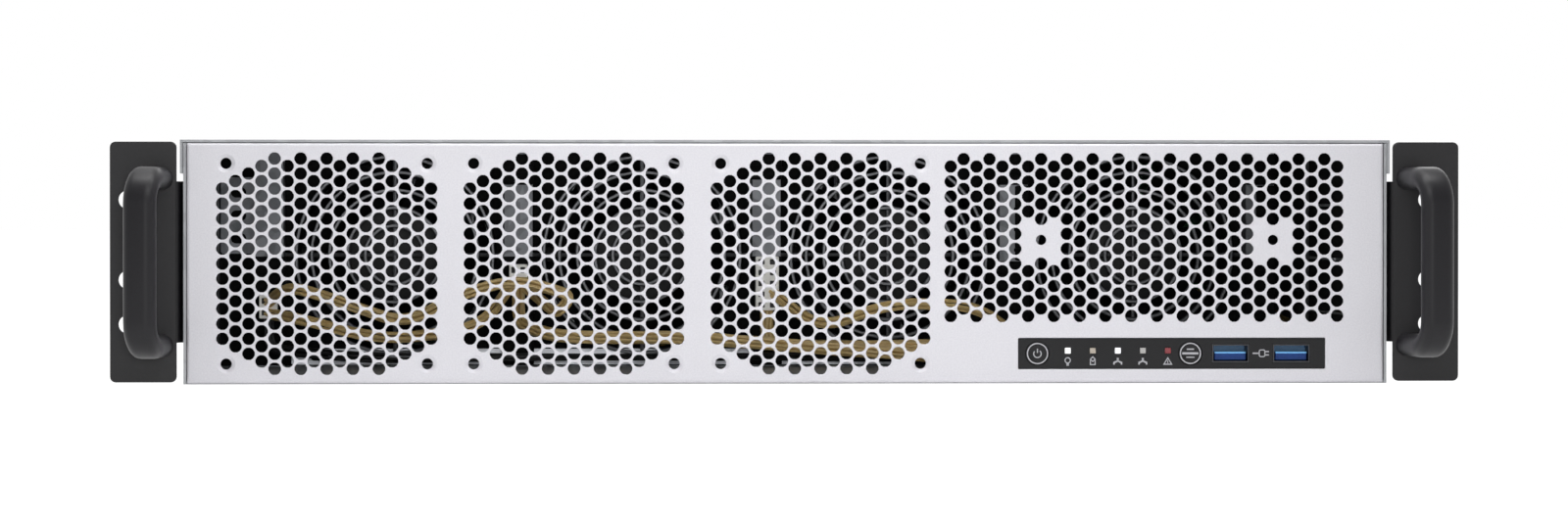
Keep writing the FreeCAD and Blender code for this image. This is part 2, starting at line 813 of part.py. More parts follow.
STRIP_FACE = FRONT + S.strip_recess
STRIP_BACK = PANEL_BACK + S.strip_flange_sheet
STRIP_BOARD = FRONT + S.strip_board_setback
SWITCH_FACE = STRIP_BOARD - S.switch_height
BUTTON_PLACES = {"power_button": S.strip_centre + S.power_button_place,
                 "reset_button": S.strip_centre + S.reset_button_place}
LENS_PLACES = [S.strip_centre + S.lens_first + S.lens_pitch * i for i in range(LENSES)]
LENS_RISE = S.strip_rise + S.lens_lift
USB_PLACES = [S.strip_centre + S.usb_first + S.usb_pitch * i for i in range(USB_SOCKETS)]
POST_PLACES = [(LENS_PLACES[0] + LENS_PLACES[1]) / 2, (USB_PLACES[0] + USB_PLACES[1]) / 2]


def add_control_strip():
    """Moulded strip behind its window, with holes for buttons, lenses and sockets, and two posts."""
    half_width, half_height = S.strip_width / 2 - S.strip_gap, S.strip_height / 2 - S.strip_gap
    body = new_body("control_bezel")
    face = new_sketch(body, "front", STRIP_FACE)
    draw_box(face, (S.strip_centre - half_width, S.strip_rise - half_height),
             (S.strip_centre + half_width, S.strip_rise + half_height))
    pad(body, face, STRIP_BACK - STRIP_FACE, rearward=True)
    flange = new_sketch(body, "front", PANEL_BACK)
    draw_box(flange, (S.strip_centre - S.strip_width / 2 - S.strip_flange,
                      S.strip_rise - S.strip_height / 2 - S.strip_flange),
             (S.strip_centre + S.strip_width / 2 + S.strip_flange,
              S.strip_rise + S.strip_height / 2 + S.strip_flange))
    pad(body, flange, S.strip_flange_sheet, rearward=True)
    openings = new_sketch(body, "front", STRIP_FACE)
    for across in BUTTON_PLACES.values():
        draw_circle(openings, (across, S.strip_rise), S.button_radius + S.button_gap)
    for across in LENS_PLACES:
        draw_polygon(openings, (across, LENS_RISE), S.lens_radius + S.fit_gap, SMALL_ROUND_SIDES)
    for across in USB_PLACES:
        draw_box(openings, (across - S.usb_width / 2 - S.strip_gap, S.strip_rise - S.usb_height / 2 - S.strip_gap),
                 (across + S.usb_width / 2 + S.strip_gap, S.strip_rise + S.usb_height / 2 + S.strip_gap))
    pocket(body, openings, STRIP_BACK - STRIP_FACE)
    posts = new_sketch(body, "front", STRIP_BACK)
    for across in POST_PLACES:
        draw_polygon(posts, (across, S.strip_rise), S.strip_post, SMALL_ROUND_SIDES)
    pad(body, posts, STRIP_BOARD - STRIP_BACK, rearward=True)
    node(body, "control_bezel")


def add_buttons():
    """Two push buttons held behind the strip by a collar, each over a switch."""
    for name, across in BUTTON_PLACES.items():
        crown = STRIP_FACE - S.button_proud
        cap = rod(f"{name}_cap", (across, crown, S.strip_rise), S.button_radius,
                  STRIP_BACK + S.button_collar_sheet - crown, "y")
        collar = rod(f"{name}_collar", (across, STRIP_BACK + S.fit_gap, S.strip_rise),
                     S.button_radius + S.button_collar, S.button_collar_sheet, "y")
        stem_end = SWITCH_FACE - S.button_travel - S.slide_gap
        stem = prism(f"{name}_stem", (across, STRIP_BACK, S.strip_rise), SMALL_ROUND_SIDES, S.button_stem,
                     stem_end - STRIP_BACK, "y")
        node(join(name, [cap, collar, stem]), name)
    switches = [block(f"switch_{i}", (across - S.switch_size / 2, SWITCH_FACE, S.strip_rise - S.switch_size / 2),
                      (S.switch_size, S.switch_height, S.switch_size))
                for i, across in enumerate(BUTTON_PLACES.values())]
    node(bundle("push_switches", switches), "push_switches")


def add_strip_board():
    """Small circuit board on the strip's posts, with light pipes and two sockets in front of it."""
    low = S.strip_rise - S.strip_board_height / 2
    board = block("control_board", (S.strip_centre - S.strip_width / 2, STRIP_BOARD, low),
                  (S.strip_width, S.board_sheet, S.strip_board_height))
    node(board, "control_board")
    lenses = [prism(f"lens_{i}", (across, STRIP_FACE - S.slide_gap, LENS_RISE), SMALL_ROUND_SIDES, S.lens_radius,
                    STRIP_BOARD - STRIP_FACE + S.slide_gap, "y") for i, across in enumerate(LENS_PLACES)]
    node(bundle("status_lenses", lenses), "status_lenses")
    shells, tongues = [], []
    inner_width, inner_height = S.usb_width - 2 * S.usb_sheet, S.usb_height - 2 * S.usb_sheet
    inner_low = S.strip_rise - inner_height / 2
    tongue_low = inner_low + S.usb_sheet
    depth = STRIP_BOARD - STRIP_FACE
    for i, across in enumerate(USB_PLACES):
        outer = block(f"usb_outer_{i}", (across - S.usb_width / 2, STRIP_FACE, S.strip_rise - S.usb_height / 2),
                      (S.usb_width, depth, S.usb_height))
        inner = block(f"usb_inner_{i}", (across - inner_width / 2, STRIP_FACE, inner_low),
                      (inner_width, depth, inner_height))
        shells.append(cut(f"usb_shell_{i}", outer, [inner]))
        root = block(f"usb_root_{i}", (across - inner_width / 2, STRIP_BOARD - S.usb_root_depth, inner_low),
                     (inner_width, S.usb_root_depth, inner_height))
        tongue = block(f"usb_bar_{i}",
                       (across - S.usb_tongue_width / 2, STRIP_FACE + S.usb_tongue_setback, tongue_low),
                       (S.usb_tongue_width, depth - S.usb_tongue_setback, S.usb_tongue_height))
        tongues.append(join(f"usb_tongue_{i}", [root, tongue]))
    node(bundle("usb_shells", shells), "usb_shells")
    node(bundle("usb_tongues", tongues), "usb_tongues")


def add_fan_wall():
    """Sheet wall across the case with an opening for each fan, and posts in front of it between them."""
    half = HALF_INSIDE - S.slide_gap
    top = LIP_UNDER - S.slide_gap
    body = new_body("fan_wall")
    sketch = new_sketch(body, "front", FAN_WALL)
    draw_path(sketch, [(-half, S.sheet), (half - S.lead_notch_width, S.sheet),
                       (half - S.lead_notch_width, S.lead_notch_height), (half, S.lead_notch_height),
                       (half, top), (-half, top)])
    for across in FAN_CENTRES:
        draw_circle(sketch, (across, S.fan_rise), S.fan_bore)
    pad(body, sketch, S.sheet, rearward=True)
    foot = new_sketch(body, "front", FAN_WALL)
    draw_box(foot, (-half, S.sheet), (half - S.lead_notch_width, 2 * S.sheet))
    pad(body, foot, S.post_depth, rearward=True)
    node(body, "fan_wall")
    channel = new_body("post_channel")
    outline = new_sketch(channel, "top", S.sheet)
    side, front, back = S.post_width / 2, FAN_WALL - S.post_depth, FAN_WALL
    inside, web = side - S.sheet, front + S.sheet
    draw_path(outline, [(-side, back), (-side, front), (side, front), (side, back), (inside, back),
                        (inside, web), (-inside, web), (-inside, back)])
    pad(channel, outline, top - S.sheet)
    posts = [copy(f"fan_post_{i}", channel, (S.fan_pitch * (i - FANS / 2), 0, 0)) for i in range(FANS + 1)]
    node(bundle("fan_posts", posts), "fan_posts")


def rotor(name, hub, tip, length, shaft, shaft_length, blades):
    """Fan wheel along its own Z: hub, twisted blades with round tips and a shaft past the hub's end."""
    body = new_body(f"{name}_wheel")
    core = new_sketch(body, "top")
    draw_polygon(core, (ZERO, ZERO), hub, RING_SIDES)
    pad(body, core, length)
    end = new_sketch(body, "top", length)
    draw_circle(end, (ZERO, ZERO), shaft)
    pad(body, end, shaft_length)
    sections = []
    middle, thick = length / 2, length * BLADE_THICKNESS
    for place, pitch in zip((hub - 2 * thick, tip + 2 * thick), BLADE_PITCHES):
        along = middle * math.cos(math.radians(pitch))
        up = middle * math.sin(math.radians(pitch))
        section = new_sketch(body, "side", place)
        draw_path(section, [(-along, middle - up - thick), (along, middle + up - thick),
                            (along, middle + up + thick), (-along, middle - up + thick)])
        sections.append(section)
    blade = body.newObject("PartDesign::AdditiveLoft", f"{name}_blade")
    blade.Profile = sections[0]
    blade.Sections = [sections[1]]
    ring = body.newObject("PartDesign::PolarPattern", f"{name}_blades")
    ring.Originals = [blade]
    ring.Axis = (origin_feature(body, "Z_Axis"), [""])
    ring.Angle = 360
    ring.Occurrences = blades
    body.Tip = ring
    sweep = DOC.addObject("Part::Cylinder", f"{name}_sweep")
    bind(sweep, "Radius", tip)
    bind(sweep, "Height", length + shaft_length)
    wheel = DOC.addObject("Part::Common", name)
    wheel.Base = body
    wheel.Tool = sweep
    return wheel


def turned(name, source, turn, place):
    """A piece turned about X and moved to its place."""
    piece = bundle(name, [source])
    piece.Placement = Placement(Vector(), turn)
    move(piece, place)
    return piece


def add_fans():
    """Four fans behind the wall: a square frame with a motor seat on struts, and a wheel on a shaft."""
    face = FAN_WALL + S.sheet
    half = S.fan_size / 2
    body = new_body("fan_frame_ring")
    sketch = new_sketch(body, "front", face)
    draw_chamfered(sketch, (-half, S.fan_rise - half), (half, S.fan_rise + half), S.fan_corner)
    draw_circle(sketch, (ZERO, S.fan_rise), S.fan_bore)
    pad(body, sketch, S.fan_depth, rearward=True)
    seat = face + S.fan_depth - S.fan_motor_sheet
    struts = [
        block("fan_strut_level", (-S.fan_bore, seat, S.fan_rise - S.fan_strut / 2),
              (2 * S.fan_bore, S.fan_motor_sheet, S.fan_strut)),
        block("fan_strut_upright", (-S.fan_strut / 2, seat, S.fan_rise - S.fan_bore),
              (S.fan_strut, S.fan_motor_sheet, 2 * S.fan_bore)),
        prism("fan_motor_seat", (ZERO, seat, S.fan_rise), RING_SIDES, S.fan_hub, S.fan_motor_sheet, "y"),
    ]
    bore = rod("fan_shaft_bore", (ZERO, seat, S.fan_rise), S.fan_shaft + S.shaft_gap, S.fan_motor_sheet, "y")
    frame = cut("fan_frame", join("fan_frame_solid", [body] + struts), [bore])
    wheel = rotor("fan_wheel", S.fan_hub, S.fan_bore - S.fan_tip_gap,
                  S.fan_depth - S.fan_motor_sheet - S.fan_face_gap - S.slide_gap, S.fan_shaft, S.fan_motor_sheet,
                  FAN_BLADES)
    for i, across in enumerate(FAN_CENTRES, start=1):
        node(copy(f"fan_frame_{i}", frame, (across, 0, 0)), f"fan_frame_{i}")
        place = (across, face + S.fan_face_gap, S.fan_rise)
        node(turned(f"fan_rotor_{i}", wheel, AXIS_TURNS["y"], place), f"fan_rotor_{i}")


def add_fan_guards():
    """Finger guards of wire rings on crossed wires in front of the fan wall."""
    wire = S.guard_wire
    centre = (ZERO, FAN_WALL - 2 * wire, S.fan_rise)
    rings = []
    for i, radius in enumerate(GUARD_RINGS):
        outer = prism(f"guard_outer_{i}", centre, RING_SIDES, radius + wire / 2, wire, "y")
        inner = prism(f"guard_inner_{i}", centre, RING_SIDES, radius - wire / 2, wire, "y")
        rings.append(cut(f"guard_ring_{i}", outer, [inner]))
    rise = S.fan_bore + wire
    wires = [block("guard_level", (-S.guard_reach, FAN_WALL - wire, S.fan_rise - wire / 2),
                   (2 * S.guard_reach, wire, wire)),
             block("guard_upright", (-wire / 2, FAN_WALL - wire, S.fan_rise - rise), (wire, wire, 2 * rise))]
    guard = join("finger_guard", rings + wires)
    guards = [copy(f"finger_guard_{i}", guard, (across, 0, 0)) for i, across in enumerate(FAN_CENTRES)]
    node(bundle("finger_guards", guards), "finger_guards")


def add_mainboard():
    """Mainboard on hexagonal standoffs."""
    low = S.sheet + S.standoff_height
    board = block("motherboard", (BOARD_LEFT, BOARD_FRONT, low), (S.board_width, S.board_depth, S.board_sheet))
    node(board, "motherboard")
    inset = S.standoff_inset
    columns = [BOARD_LEFT + inset + (S.board_width - 2 * inset) * i / 2 for i in range(3)]
    rows = [BOARD_FRONT + inset, BOARD_FRONT + S.board_depth / 2, BOARD_FRONT + S.board_depth - inset]
    standoffs = [prism(f"standoff_{i}", (across, along, S.sheet), 6, S.standoff_radius, S.standoff_height, "z")
                 for i, (across, along) in enumerate((column, row) for column in columns for row in rows)]
    node(bundle("board_standoffs", standoffs), "board_standoffs")


# Modules in each memory bank; a cooler stands between two banks and takes what width is left
MEMORY_COUNTS = (3, 6, 3)
COOLERS = ("cpu_cooler_left", "cpu_cooler_right")
BANK_WIDTHS = [S.memory_pitch * (count - 1) + S.memory_slot_width for count in MEMORY_COUNTS]
ROW_GAPS = len(MEMORY_COUNTS) + len(COOLERS) + 2
ROW_REST = S.board_width - sum(BANK_WIDTHS) - S.power_socket_width - ROW_GAPS * S.board_item_gap
COOLER_WIDTH = ROW_REST / len(COOLERS)


def row_places():
    """Middles of the memory modules and of the coolers, in turn from the board's left edge."""
    modules, coolers = [], []
    edge = BOARD_LEFT + S.board_item_gap
    for count, width in zip(MEMORY_COUNTS, BANK_WIDTHS):
        if modules:
            coolers.append(edge + COOLER_WIDTH / 2)
            edge = edge + COOLER_WIDTH + S.board_item_gap
        modules += [edge + S.memory_slot_width / 2 + S.memory_pitch * i for i in range(count)]
        edge = edge + width + S.board_item_gap
    return modules, coolers


MEMORY_PLACES, COOLER_PLACES = row_places()


def cooler(name, foot, size, base, fins):
    """Finned block: a base plate with upright fins in a row, over the middle of its foot."""
    width, depth, height = size
    left, front = foot[0] - width / 2, foot[1] - depth / 2
    body = new_body(name)
    plate = new_sketch(body, "top", foot[2])
    draw_box(plate, (left, front), (left + width, front + depth))
    pad(body, plate, base)
    edge = new_sketch(body, "top", foot[2] + base)
    draw_box(edge, (left, front), (left + S.cooler_fin, front + depth))
    first = pad(body, edge, height - base)
    row = body.newObject("PartDesign::LinearPattern", f"{name}_fins")
    row.Originals = [first]
    row.Direction = (origin_feature(body, "X_Axis"), [""])
    bind(row, "Length", width - S.cooler_fin)
    row.Occurrences = fins
    body.Tip = row
    return node(body, name)


def add_processors():
    """Two processor sockets under finned coolers, and a low cooler on the chipset."""
    along = REAR - S.cooler_rear_gap - S.cooler_depth / 2
    sockets = []
    for name, across in zip(COOLERS, COOLER_PLACES):
        sockets.append(block(f"{name}_socket", (across - S.socket_width / 2, along - S.socket_depth / 2, BOARD_TOP),
                             (S.socket_width, S.socket_depth, S.socket_height)))
        size = (COOLER_WIDTH, S.cooler_depth, S.cooler_height)
        cooler(name, (across, along, BOARD_TOP + S.socket_height), size, S.cooler_base, COOLER_FINS)
    node(bundle("cpu_sockets", sockets), "cpu_sockets")
    cooler("chipset_cooler", (BOARD_LEFT + S.chipset_place, REAR - S.chipset_rear_gap, BOARD_TOP),
           (S.chipset_width, S.chipset_width, S.chipset_height), S.chipset_base, CHIPSET_FINS)


def add_memory():
    """Memory sockets on the board with a module standing in each."""
    front = REAR - S.memory_rear_gap - S.memory_length
    length = S.memory_length - 2 * S.memory_seat
    sockets, modules = [], []
    for i, across in enumerate(MEMORY_PLACES):
        socket = block(f"memory_socket_{i}", (across - S.memory_slot_width / 2, front, BOARD_TOP),
                       (S.memory_slot_width, S.memory_length, S.memory_slot_height))
        seat = (across - S.memory_sheet / 2, front + S.memory_seat, BOARD_TOP + S.memory_seat)
        groove = block(f"memory_groove_{i}", seat, (S.memory_sheet, length, S.memory_slot_height))
        sockets.append(cut(f"memory_slot_{i}", socket, [groove]))
        modules.append(block(f"memory_module_{i}", seat, (S.memory_sheet, length, S.memory_height)))
    node(bundle("memory_slots", sockets), "memory_slots")
    node(bundle("memory_modules", modules), "memory_modules")


PORT_FACE = REAR + S.slide_gap
JACK_SIZE = (S.jack_width, S.jack_depth, S.jack_height)
STACK_SIZE = (S.stack_width, S.stack_depth, S.stack_height)
VIDEO_SIZE = (S.video_width, S.video_depth, S.video_height)
JACK_PLACES = [S.port_window_left + S.jack_first + S.jack_pitch * i for i in range(JACKS)]
STACK_PLACE = S.port_window_left + S.stack_place
VIDEO_PLACE = S.port_window_left + S.video_place


def port_block(name, across, size):
    """Housing of a rear port on the mainboard, its face just past the rear panel."""
    return block(name, (across - size[0] / 2, PORT_FACE - size[1], BOARD_TOP), size)


def shield_window(name, across, size):
    """Hole in the shield plate around one port's housing."""
    return block(name, (across - size[0] / 2 - S.port_gap, REAR - 2 * S.sheet, BOARD_TOP - S.port_gap),
                 (size[0] + 2 * S.port_gap, 3 * S.sheet, size[2] + 2 * S.port_gap))


def add_rear_ports():
    """Network jacks, a stacked pair of sockets and a video socket, and the shield plate around them."""
    jacks = []
    for i, across in enumerate(JACK_PLACES):
        housing = port_block(f"jack_housing_{i}", across, JACK_SIZE)
        inner = (across - S.jack_mouth_width / 2, PORT_FACE - S.jack_mouth_depth, BOARD_TOP + S.jack_mouth_rise)
        mouth = block(f"jack_mouth_{i}", inner, (S.jack_mouth_width, S.jack_mouth_depth, S.jack_mouth_height))
        jacks.append(cut(f"jack_{i}", housing, [mouth]))
    node(bundle("network_jacks", jacks), "network_jacks")
    stack = port_block("stack_housing", STACK_PLACE, STACK_SIZE)
    decks = [block(f"stack_deck_{i}", (STACK_PLACE - S.deck_width / 2, PORT_FACE - S.deck_width,
                                       BOARD_TOP + S.deck_rise + S.deck_pitch * i),
                   (S.deck_width, S.deck_width, S.deck_height)) for i in range(DECKS)]
    video = port_block("video_housing", VIDEO_PLACE, VIDEO_SIZE)
    shell_low = BOARD_TOP + S.video_shell_rise
    rim = S.video_shell_sheet
    shell = block("video_shell", (VIDEO_PLACE - S.video_shell_width / 2, PORT_FACE, shell_low),
                  (S.video_shell_width, S.video_shell_reach, S.video_shell_height))
    well = block("video_well", (VIDEO_PLACE - S.video_shell_width / 2 + rim, PORT_FACE, shell_low + rim),
                 (S.video_shell_width - 2 * rim, S.video_shell_reach, S.video_shell_height - 2 * rim))
    ports = [cut("usb_stack", stack, decks), cut("video_port", join("video_solid", [video, shell]), [well])]
    node(bundle("rear_ports", ports), "rear_ports")
    gap = S.slide_gap
    plate = block("shield_plate", (S.port_window_left + gap, REAR - S.sheet, S.port_window_rise + gap),
                  (S.port_window_width - 2 * gap, S.sheet / 2, S.port_window_height - 2 * gap))
    windows = [shield_window(f"shield_jack_{i}", across, JACK_SIZE) for i, across in enumerate(JACK_PLACES)]
    windows.append(shield_window("shield_stack", STACK_PLACE, STACK_SIZE))
    windows.append(shield_window("shield_video", VIDEO_PLACE, VIDEO_SIZE))
    node(cut("io_shield", plate, windows), "io_shield")


def add_rear_panel():
    """Rear sheet with windows for the ports and cards, air slots above the ports and thumbscrew holes."""
    holes = []
    low = (S.port_window_left.value, S.port_window_rise.value)
    high = (low[0] + S.port_window_width.value, low[1] + S.port_window_height.value)
    holes.append(box_hole(low, high))
    half = S.card_window_width.value / 2
    for centre in CARD_SLOT_CENTRES:
        holes.append(box_hole((centre.value - half, S.card_window_rise.value),
                              (centre.value + half, S.card_window_rise.value + S.card_window_height.value)))
    width = S.air_slot_width.value
    pitch = width + S.air_slot_gap.value
    slot_low = high[1] + S.air_slot_lift.value
    for i in range(int(S.port_window_width.value / pitch)):
        start = low[0] + i * pitch
        holes.append(box_hole((start, slot_low), (start + width, slot_low + S.air_slot_height.value)))
    for across in THUMBSCREW_PLACES:
        holes.append(even_hole(across.value, THUMBSCREW_RISE.value, THUMBSCREW_HOLE.value, SMALL_ROUND_SIDES))
    shape = sheet_with_holes((-HALF_INSIDE.value, S.sheet.value), (CAGE_LEFT.value, LIP_UNDER.value),
                             S.sheet.value, holes)
    node(made("rear_panel", shape, REAR - S.sheet), "rear_panel")


def add_cards():
    """Card sockets on the board and a blank plate behind each card window."""
    sockets, blanks = [], []
    front = REAR - S.card_socket_rear_gap - S.card_socket_length
    overlap = S.card_blank_overlap
    width = S.card_window_width + 2 * overlap
    for i, across in enumerate(CARD_SLOT_CENTRES):
        sockets.append(block(f"card_socket_{i}", (across - S.card_socket_width / 2, front, BOARD_TOP),
                             (S.card_socket_width, S.card_socket_length, S.card_socket_height)))
        corner = (across - width / 2, REAR - 2 * S.sheet, S.card_window_rise - overlap)
        blanks.append(block(f"card_blank_{i}", corner, (width, S.sheet, S.card_window_height + 2 * overlap)))
    node(bundle("expansion_slots", sockets), "expansion_slots")
    node(bundle("slot_covers", blanks), "slot_covers")


MODULE_LEFT = CAGE_LEFT + S.cage_sheet + S.module_gap
MODULE_LOW = S.sheet + S.cage_sheet + S.module_gap
MODULE_STEP = S.module_height + 2 * S.module_gap + S.cage_sheet
MODULE_FAN = (MODULE_LEFT + S.module_fan_place, MODULE_LOW + S.module_height / 2)
INLET_LOW = (MODULE_LEFT + S.module_width - S.inlet_width - S.inlet_side_gap, MODULE_LOW + S.inlet_rise)
INLET_MIDDLE = (INLET_LOW[0] + S.inlet_width / 2, INLET_LOW[1] + S.inlet_height / 2)
LATCH_LEFT = MODULE_LEFT + S.module_width - S.latch_side_gap
LATCH_LOW = MODULE_LOW + S.latch_rise
LATCH_PIVOT = REAR - S.latch_pivot_gap


def add_cage():
    """Two-storey sheet cage for the power modules, with a connector board across its inner end."""
    height = 2 * (S.module_height + 2 * S.module_gap) + 3 * S.cage_sheet
    cell = S.module_width + 2 * S.module_gap
    body = new_body("psu_cage")
    sketch = new_sketch(body, "front", REAR - CAGE_DEPTH)
    draw_box(sketch, (CAGE_LEFT, S.sheet), (HALF_INSIDE, S.sheet + height))
    for storey in range(len(STOREYS)):
        low = S.sheet + S.cage_sheet + MODULE_STEP * storey
        left = CAGE_LEFT + S.cage_sheet
        draw_box(sketch, (left, low), (left + cell, low + S.module_height + 2 * S.module_gap))
    pad(body, sketch, CAGE_DEPTH, rearward=True)
    node(body, "psu_cage")
    back = REAR - CAGE_DEPTH
    board = block("backplane_board", (CAGE_LEFT, back - S.board_sheet, S.sheet),
                  (CAGE_WIDTH, S.board_sheet, height))
    inset, low = S.backplane_socket_inset, MODULE_LOW + S.backplane_socket_rise
    reach = S.cage_reach - S.module_gap
    sockets = [block(f"backplane_socket_{i}", (MODULE_LEFT + inset, back, low + MODULE_STEP * i),
                     (S.module_width - 2 * inset, reach, S.backplane_socket_height)) for i in range(len(STOREYS))]
    node(join("psu_backplane", [board] + sockets), "psu_backplane")


def module_case():
    """Case of a power module with a fan well behind crossed bars, an inlet seat and a latch groove."""
    across, up = MODULE_FAN
    bar, radius = S.guard_wire, S.module_fan_radius
    case = block("module_block", (MODULE_LEFT, REAR - S.module_depth, MODULE_LOW),
                 (S.module_width, S.module_depth, S.module_height))
    hollows = [
        rod("module_well", (across, REAR - S.module_fan_depth, up), radius, S.module_fan_depth, "y"),
        rod("module_bore", (across, REAR - S.module_fan_depth - S.module_shaft_depth, up),
            S.module_shaft + S.shaft_gap, S.module_shaft_depth, "y"),
        block("module_inlet_seat", (INLET_LOW[0], REAR - S.inlet_depth, INLET_LOW[1]),
              (S.inlet_width, S.inlet_depth, S.inlet_height)),
        block("module_latch_groove",
              (LATCH_LEFT - S.latch_swing, LATCH_PIVOT - S.latch_tail - S.sheet, LATCH_LOW - S.module_gap),
              (S.latch_swing + S.latch_side_gap, S.latch_pivot_gap + S.latch_tail + S.sheet,
               S.latch_height + 2 * S.module_gap)),
        rod("module_pin_hole",
            (LATCH_LEFT + S.latch_sheet / 2, LATCH_PIVOT, LATCH_LOW - S.latch_pin_reach - S.latch_pin_clearance),
            S.latch_pin + S.shaft_gap, S.latch_height + 2 * (S.latch_pin_reach + S.latch_pin_clearance), "z"),
    ]
    bars = [
        block("module_bar_level", (across - radius, REAR - bar, up - bar / 2), (2 * radius, bar, bar)),
        block("module_bar_upright", (across - bar / 2, REAR - bar, up - radius), (bar, bar, 2 * radius)),
    ]
    return join("module_case", [cut("module_hollow", case, hollows)] + bars)


def module_inlet():
    """Power inlet with an open recess and three flat pins in it."""
    back = REAR - S.inlet_depth
    shell = block("inlet_block", (INLET_LOW[0], back, INLET_LOW[1]),
                  (S.inlet_width, S.inlet_depth, S.inlet_height))
    wall = S.inlet_wall
    recess = block("inlet_recess", (INLET_LOW[0] + wall, back + S.inlet_floor, INLET_LOW[1] + wall),
                   (S.inlet_width - 2 * wall, S.inlet_depth, S.inlet_height - 2 * wall))
    left, low = INLET_MIDDLE[0] - S.inlet_pin_width / 2, INLET_MIDDLE[1] - S.inlet_pin_height / 2
    pins = [block(f"inlet_pin_{i}", (left + S.inlet_pin_spread * side, back + wall, low + lift),
                  (S.inlet_pin_width, S.inlet_pin_length, S.inlet_pin_height))
            for i, (side, lift) in enumerate(((-1, 0), (0, S.inlet_pin_height), (1, 0)))]
    return join("module_inlet", [cut("inlet_shell", shell, [recess])] + pins)


def module_latch():
    """Release lever on an upright pin, with a tab past the module's face."""
    lever = block("latch_lever", (LATCH_LEFT, LATCH_PIVOT - S.latch_tail, LATCH_LOW),
                  (S.latch_sheet, S.latch_tail + S.latch_pivot_gap + S.latch_reach, S.latch_height))
    pin = rod("latch_pin_rod", (LATCH_LEFT + S.latch_sheet / 2, LATCH_PIVOT, LATCH_LOW - S.latch_pin_reach),
              S.latch_pin, S.latch_height + 2 * S.latch_pin_reach, "z")
    return join("module_latch", [lever, pin])


def add_modules():
    """Two like power modules: case, inlet, pull handle, release lever and fan wheel."""
    pull = bow("module_bow", S.module_handle_reach, S.module_handle_span, S.module_handle_width,
               S.module_handle_bar, S.sheet, S.module_handle_bar, ZERO)
    pull.Placement = Placement(Vector(), Rotation(Vector(0, 0, 1), 180) * Rotation(Vector(0, 1, 0), 90))
    move(pull, (INLET_MIDDLE[0], REAR, MODULE_LOW + S.module_height - S.module_handle_drop))
    pieces = {"case": module_case(), "inlet": module_inlet(), "handle": pull, "latch": module_latch()}
    bar = S.guard_wire
    wheel = rotor("module_wheel", S.module_fan_hub, S.module_fan_radius - S.fan_tip_gap,
                  S.module_fan_depth - 2 * bar - S.module_gap, S.module_shaft,
                  S.module_shaft_depth - S.module_gap, MODULE_FAN_BLADES)
    for storey, level in enumerate(STOREYS):
        lift = MODULE_STEP * storey
        for piece, source in pieces.items():
            node(copy(f"psu_{level}_{piece}", source, (0, 0, lift)), f"psu_{level}_{piece}")
        place = (MODULE_FAN[0], REAR - 2 * bar, MODULE_FAN[1] + lift)
        node(turned(f"psu_{level}_rotor", wheel, Rotation(Vector(1, 0, 0), 90), place), f"psu_{level}_rotor")


# Power sockets on the board: start from its front edge and length
POWER_SOCKETS = ((20, 52), (90, 18))
# Lead connectors: post counted from the middle one, width, lower end and height
LEAD_CONNECTORS = ((0, 9, 23, 21), (-1, 7, 32, 9), (-2, 7, 20, 9))
POWER_SOCKET_LEFT = BOARD_LEFT + S.board_width - S.power_socket_width - S.board_item_gap


def add_power_sockets():
    """Power sockets along the mainboard's edge, and white lead connectors on the fan posts."""
    sockets = [block(f"power_socket_{i}", (POWER_SOCKET_LEFT, BOARD_FRONT + along, BOARD_TOP),
                     (S.power_socket_width, length, S.power_socket_height))
               for i, (along, length) in enumerate(POWER_SOCKETS)]
    node(bundle("board_power_sockets", sockets), "board_power_sockets")
    face = FAN_WALL - S.post_depth - S.lead_connector_depth
    housings = [block(f"lead_connector_{i}", (S.fan_pitch * place - width / 2, face, low),
                      (width, S.lead_connector_depth, height))
                for i, (place, width, low, height) in enumerate(LEAD_CONNECTORS)]
    node(bundle("lead_connectors", housings), "lead_connectors")


BEND_SHARE = 0.45


def tube(points, radius):
    """Lead of even-sided section along straight runs joined by arcs."""
    last, edges = points[0], []
    for before, corner, after in zip(points, points[1:], points[2:]):
        into, out = before - corner, after - corner
        half_angle = into.getAngle(out) / 2
        trim = min(S.lead_bend.value, into.Length * BEND_SHARE, out.Length * BEND_SHARE)
        into.normalize()
        out.normalize()
        bisector = (into + out).normalize()
        centre = corner + bisector * (trim / math.cos(half_angle))
        middle = centre - bisector * (trim * math.tan(half_angle))
        edges.append(Part.LineSegment(last, corner + into * trim).toShape())
        last = corner + out * trim
        edges.append(Part.Arc(corner + into * trim, middle, last).toShape())
    edges.append(Part.LineSegment(last, points[-1]).toShape())
    turn = Rotation(Vector(0, 0, 1), points[1] - points[0])
    angles = [2 * math.pi * k / LEAD_SIDES for k in range(LEAD_SIDES + 1)]
    ring = [points[0] + turn.multVec(Vector(radius * math.cos(angle), radius * math.sin(angle), 0))
            for angle in angles]
    return Part.Wire(edges).makePipeShell([Part.makePolygon(ring)], True, False)


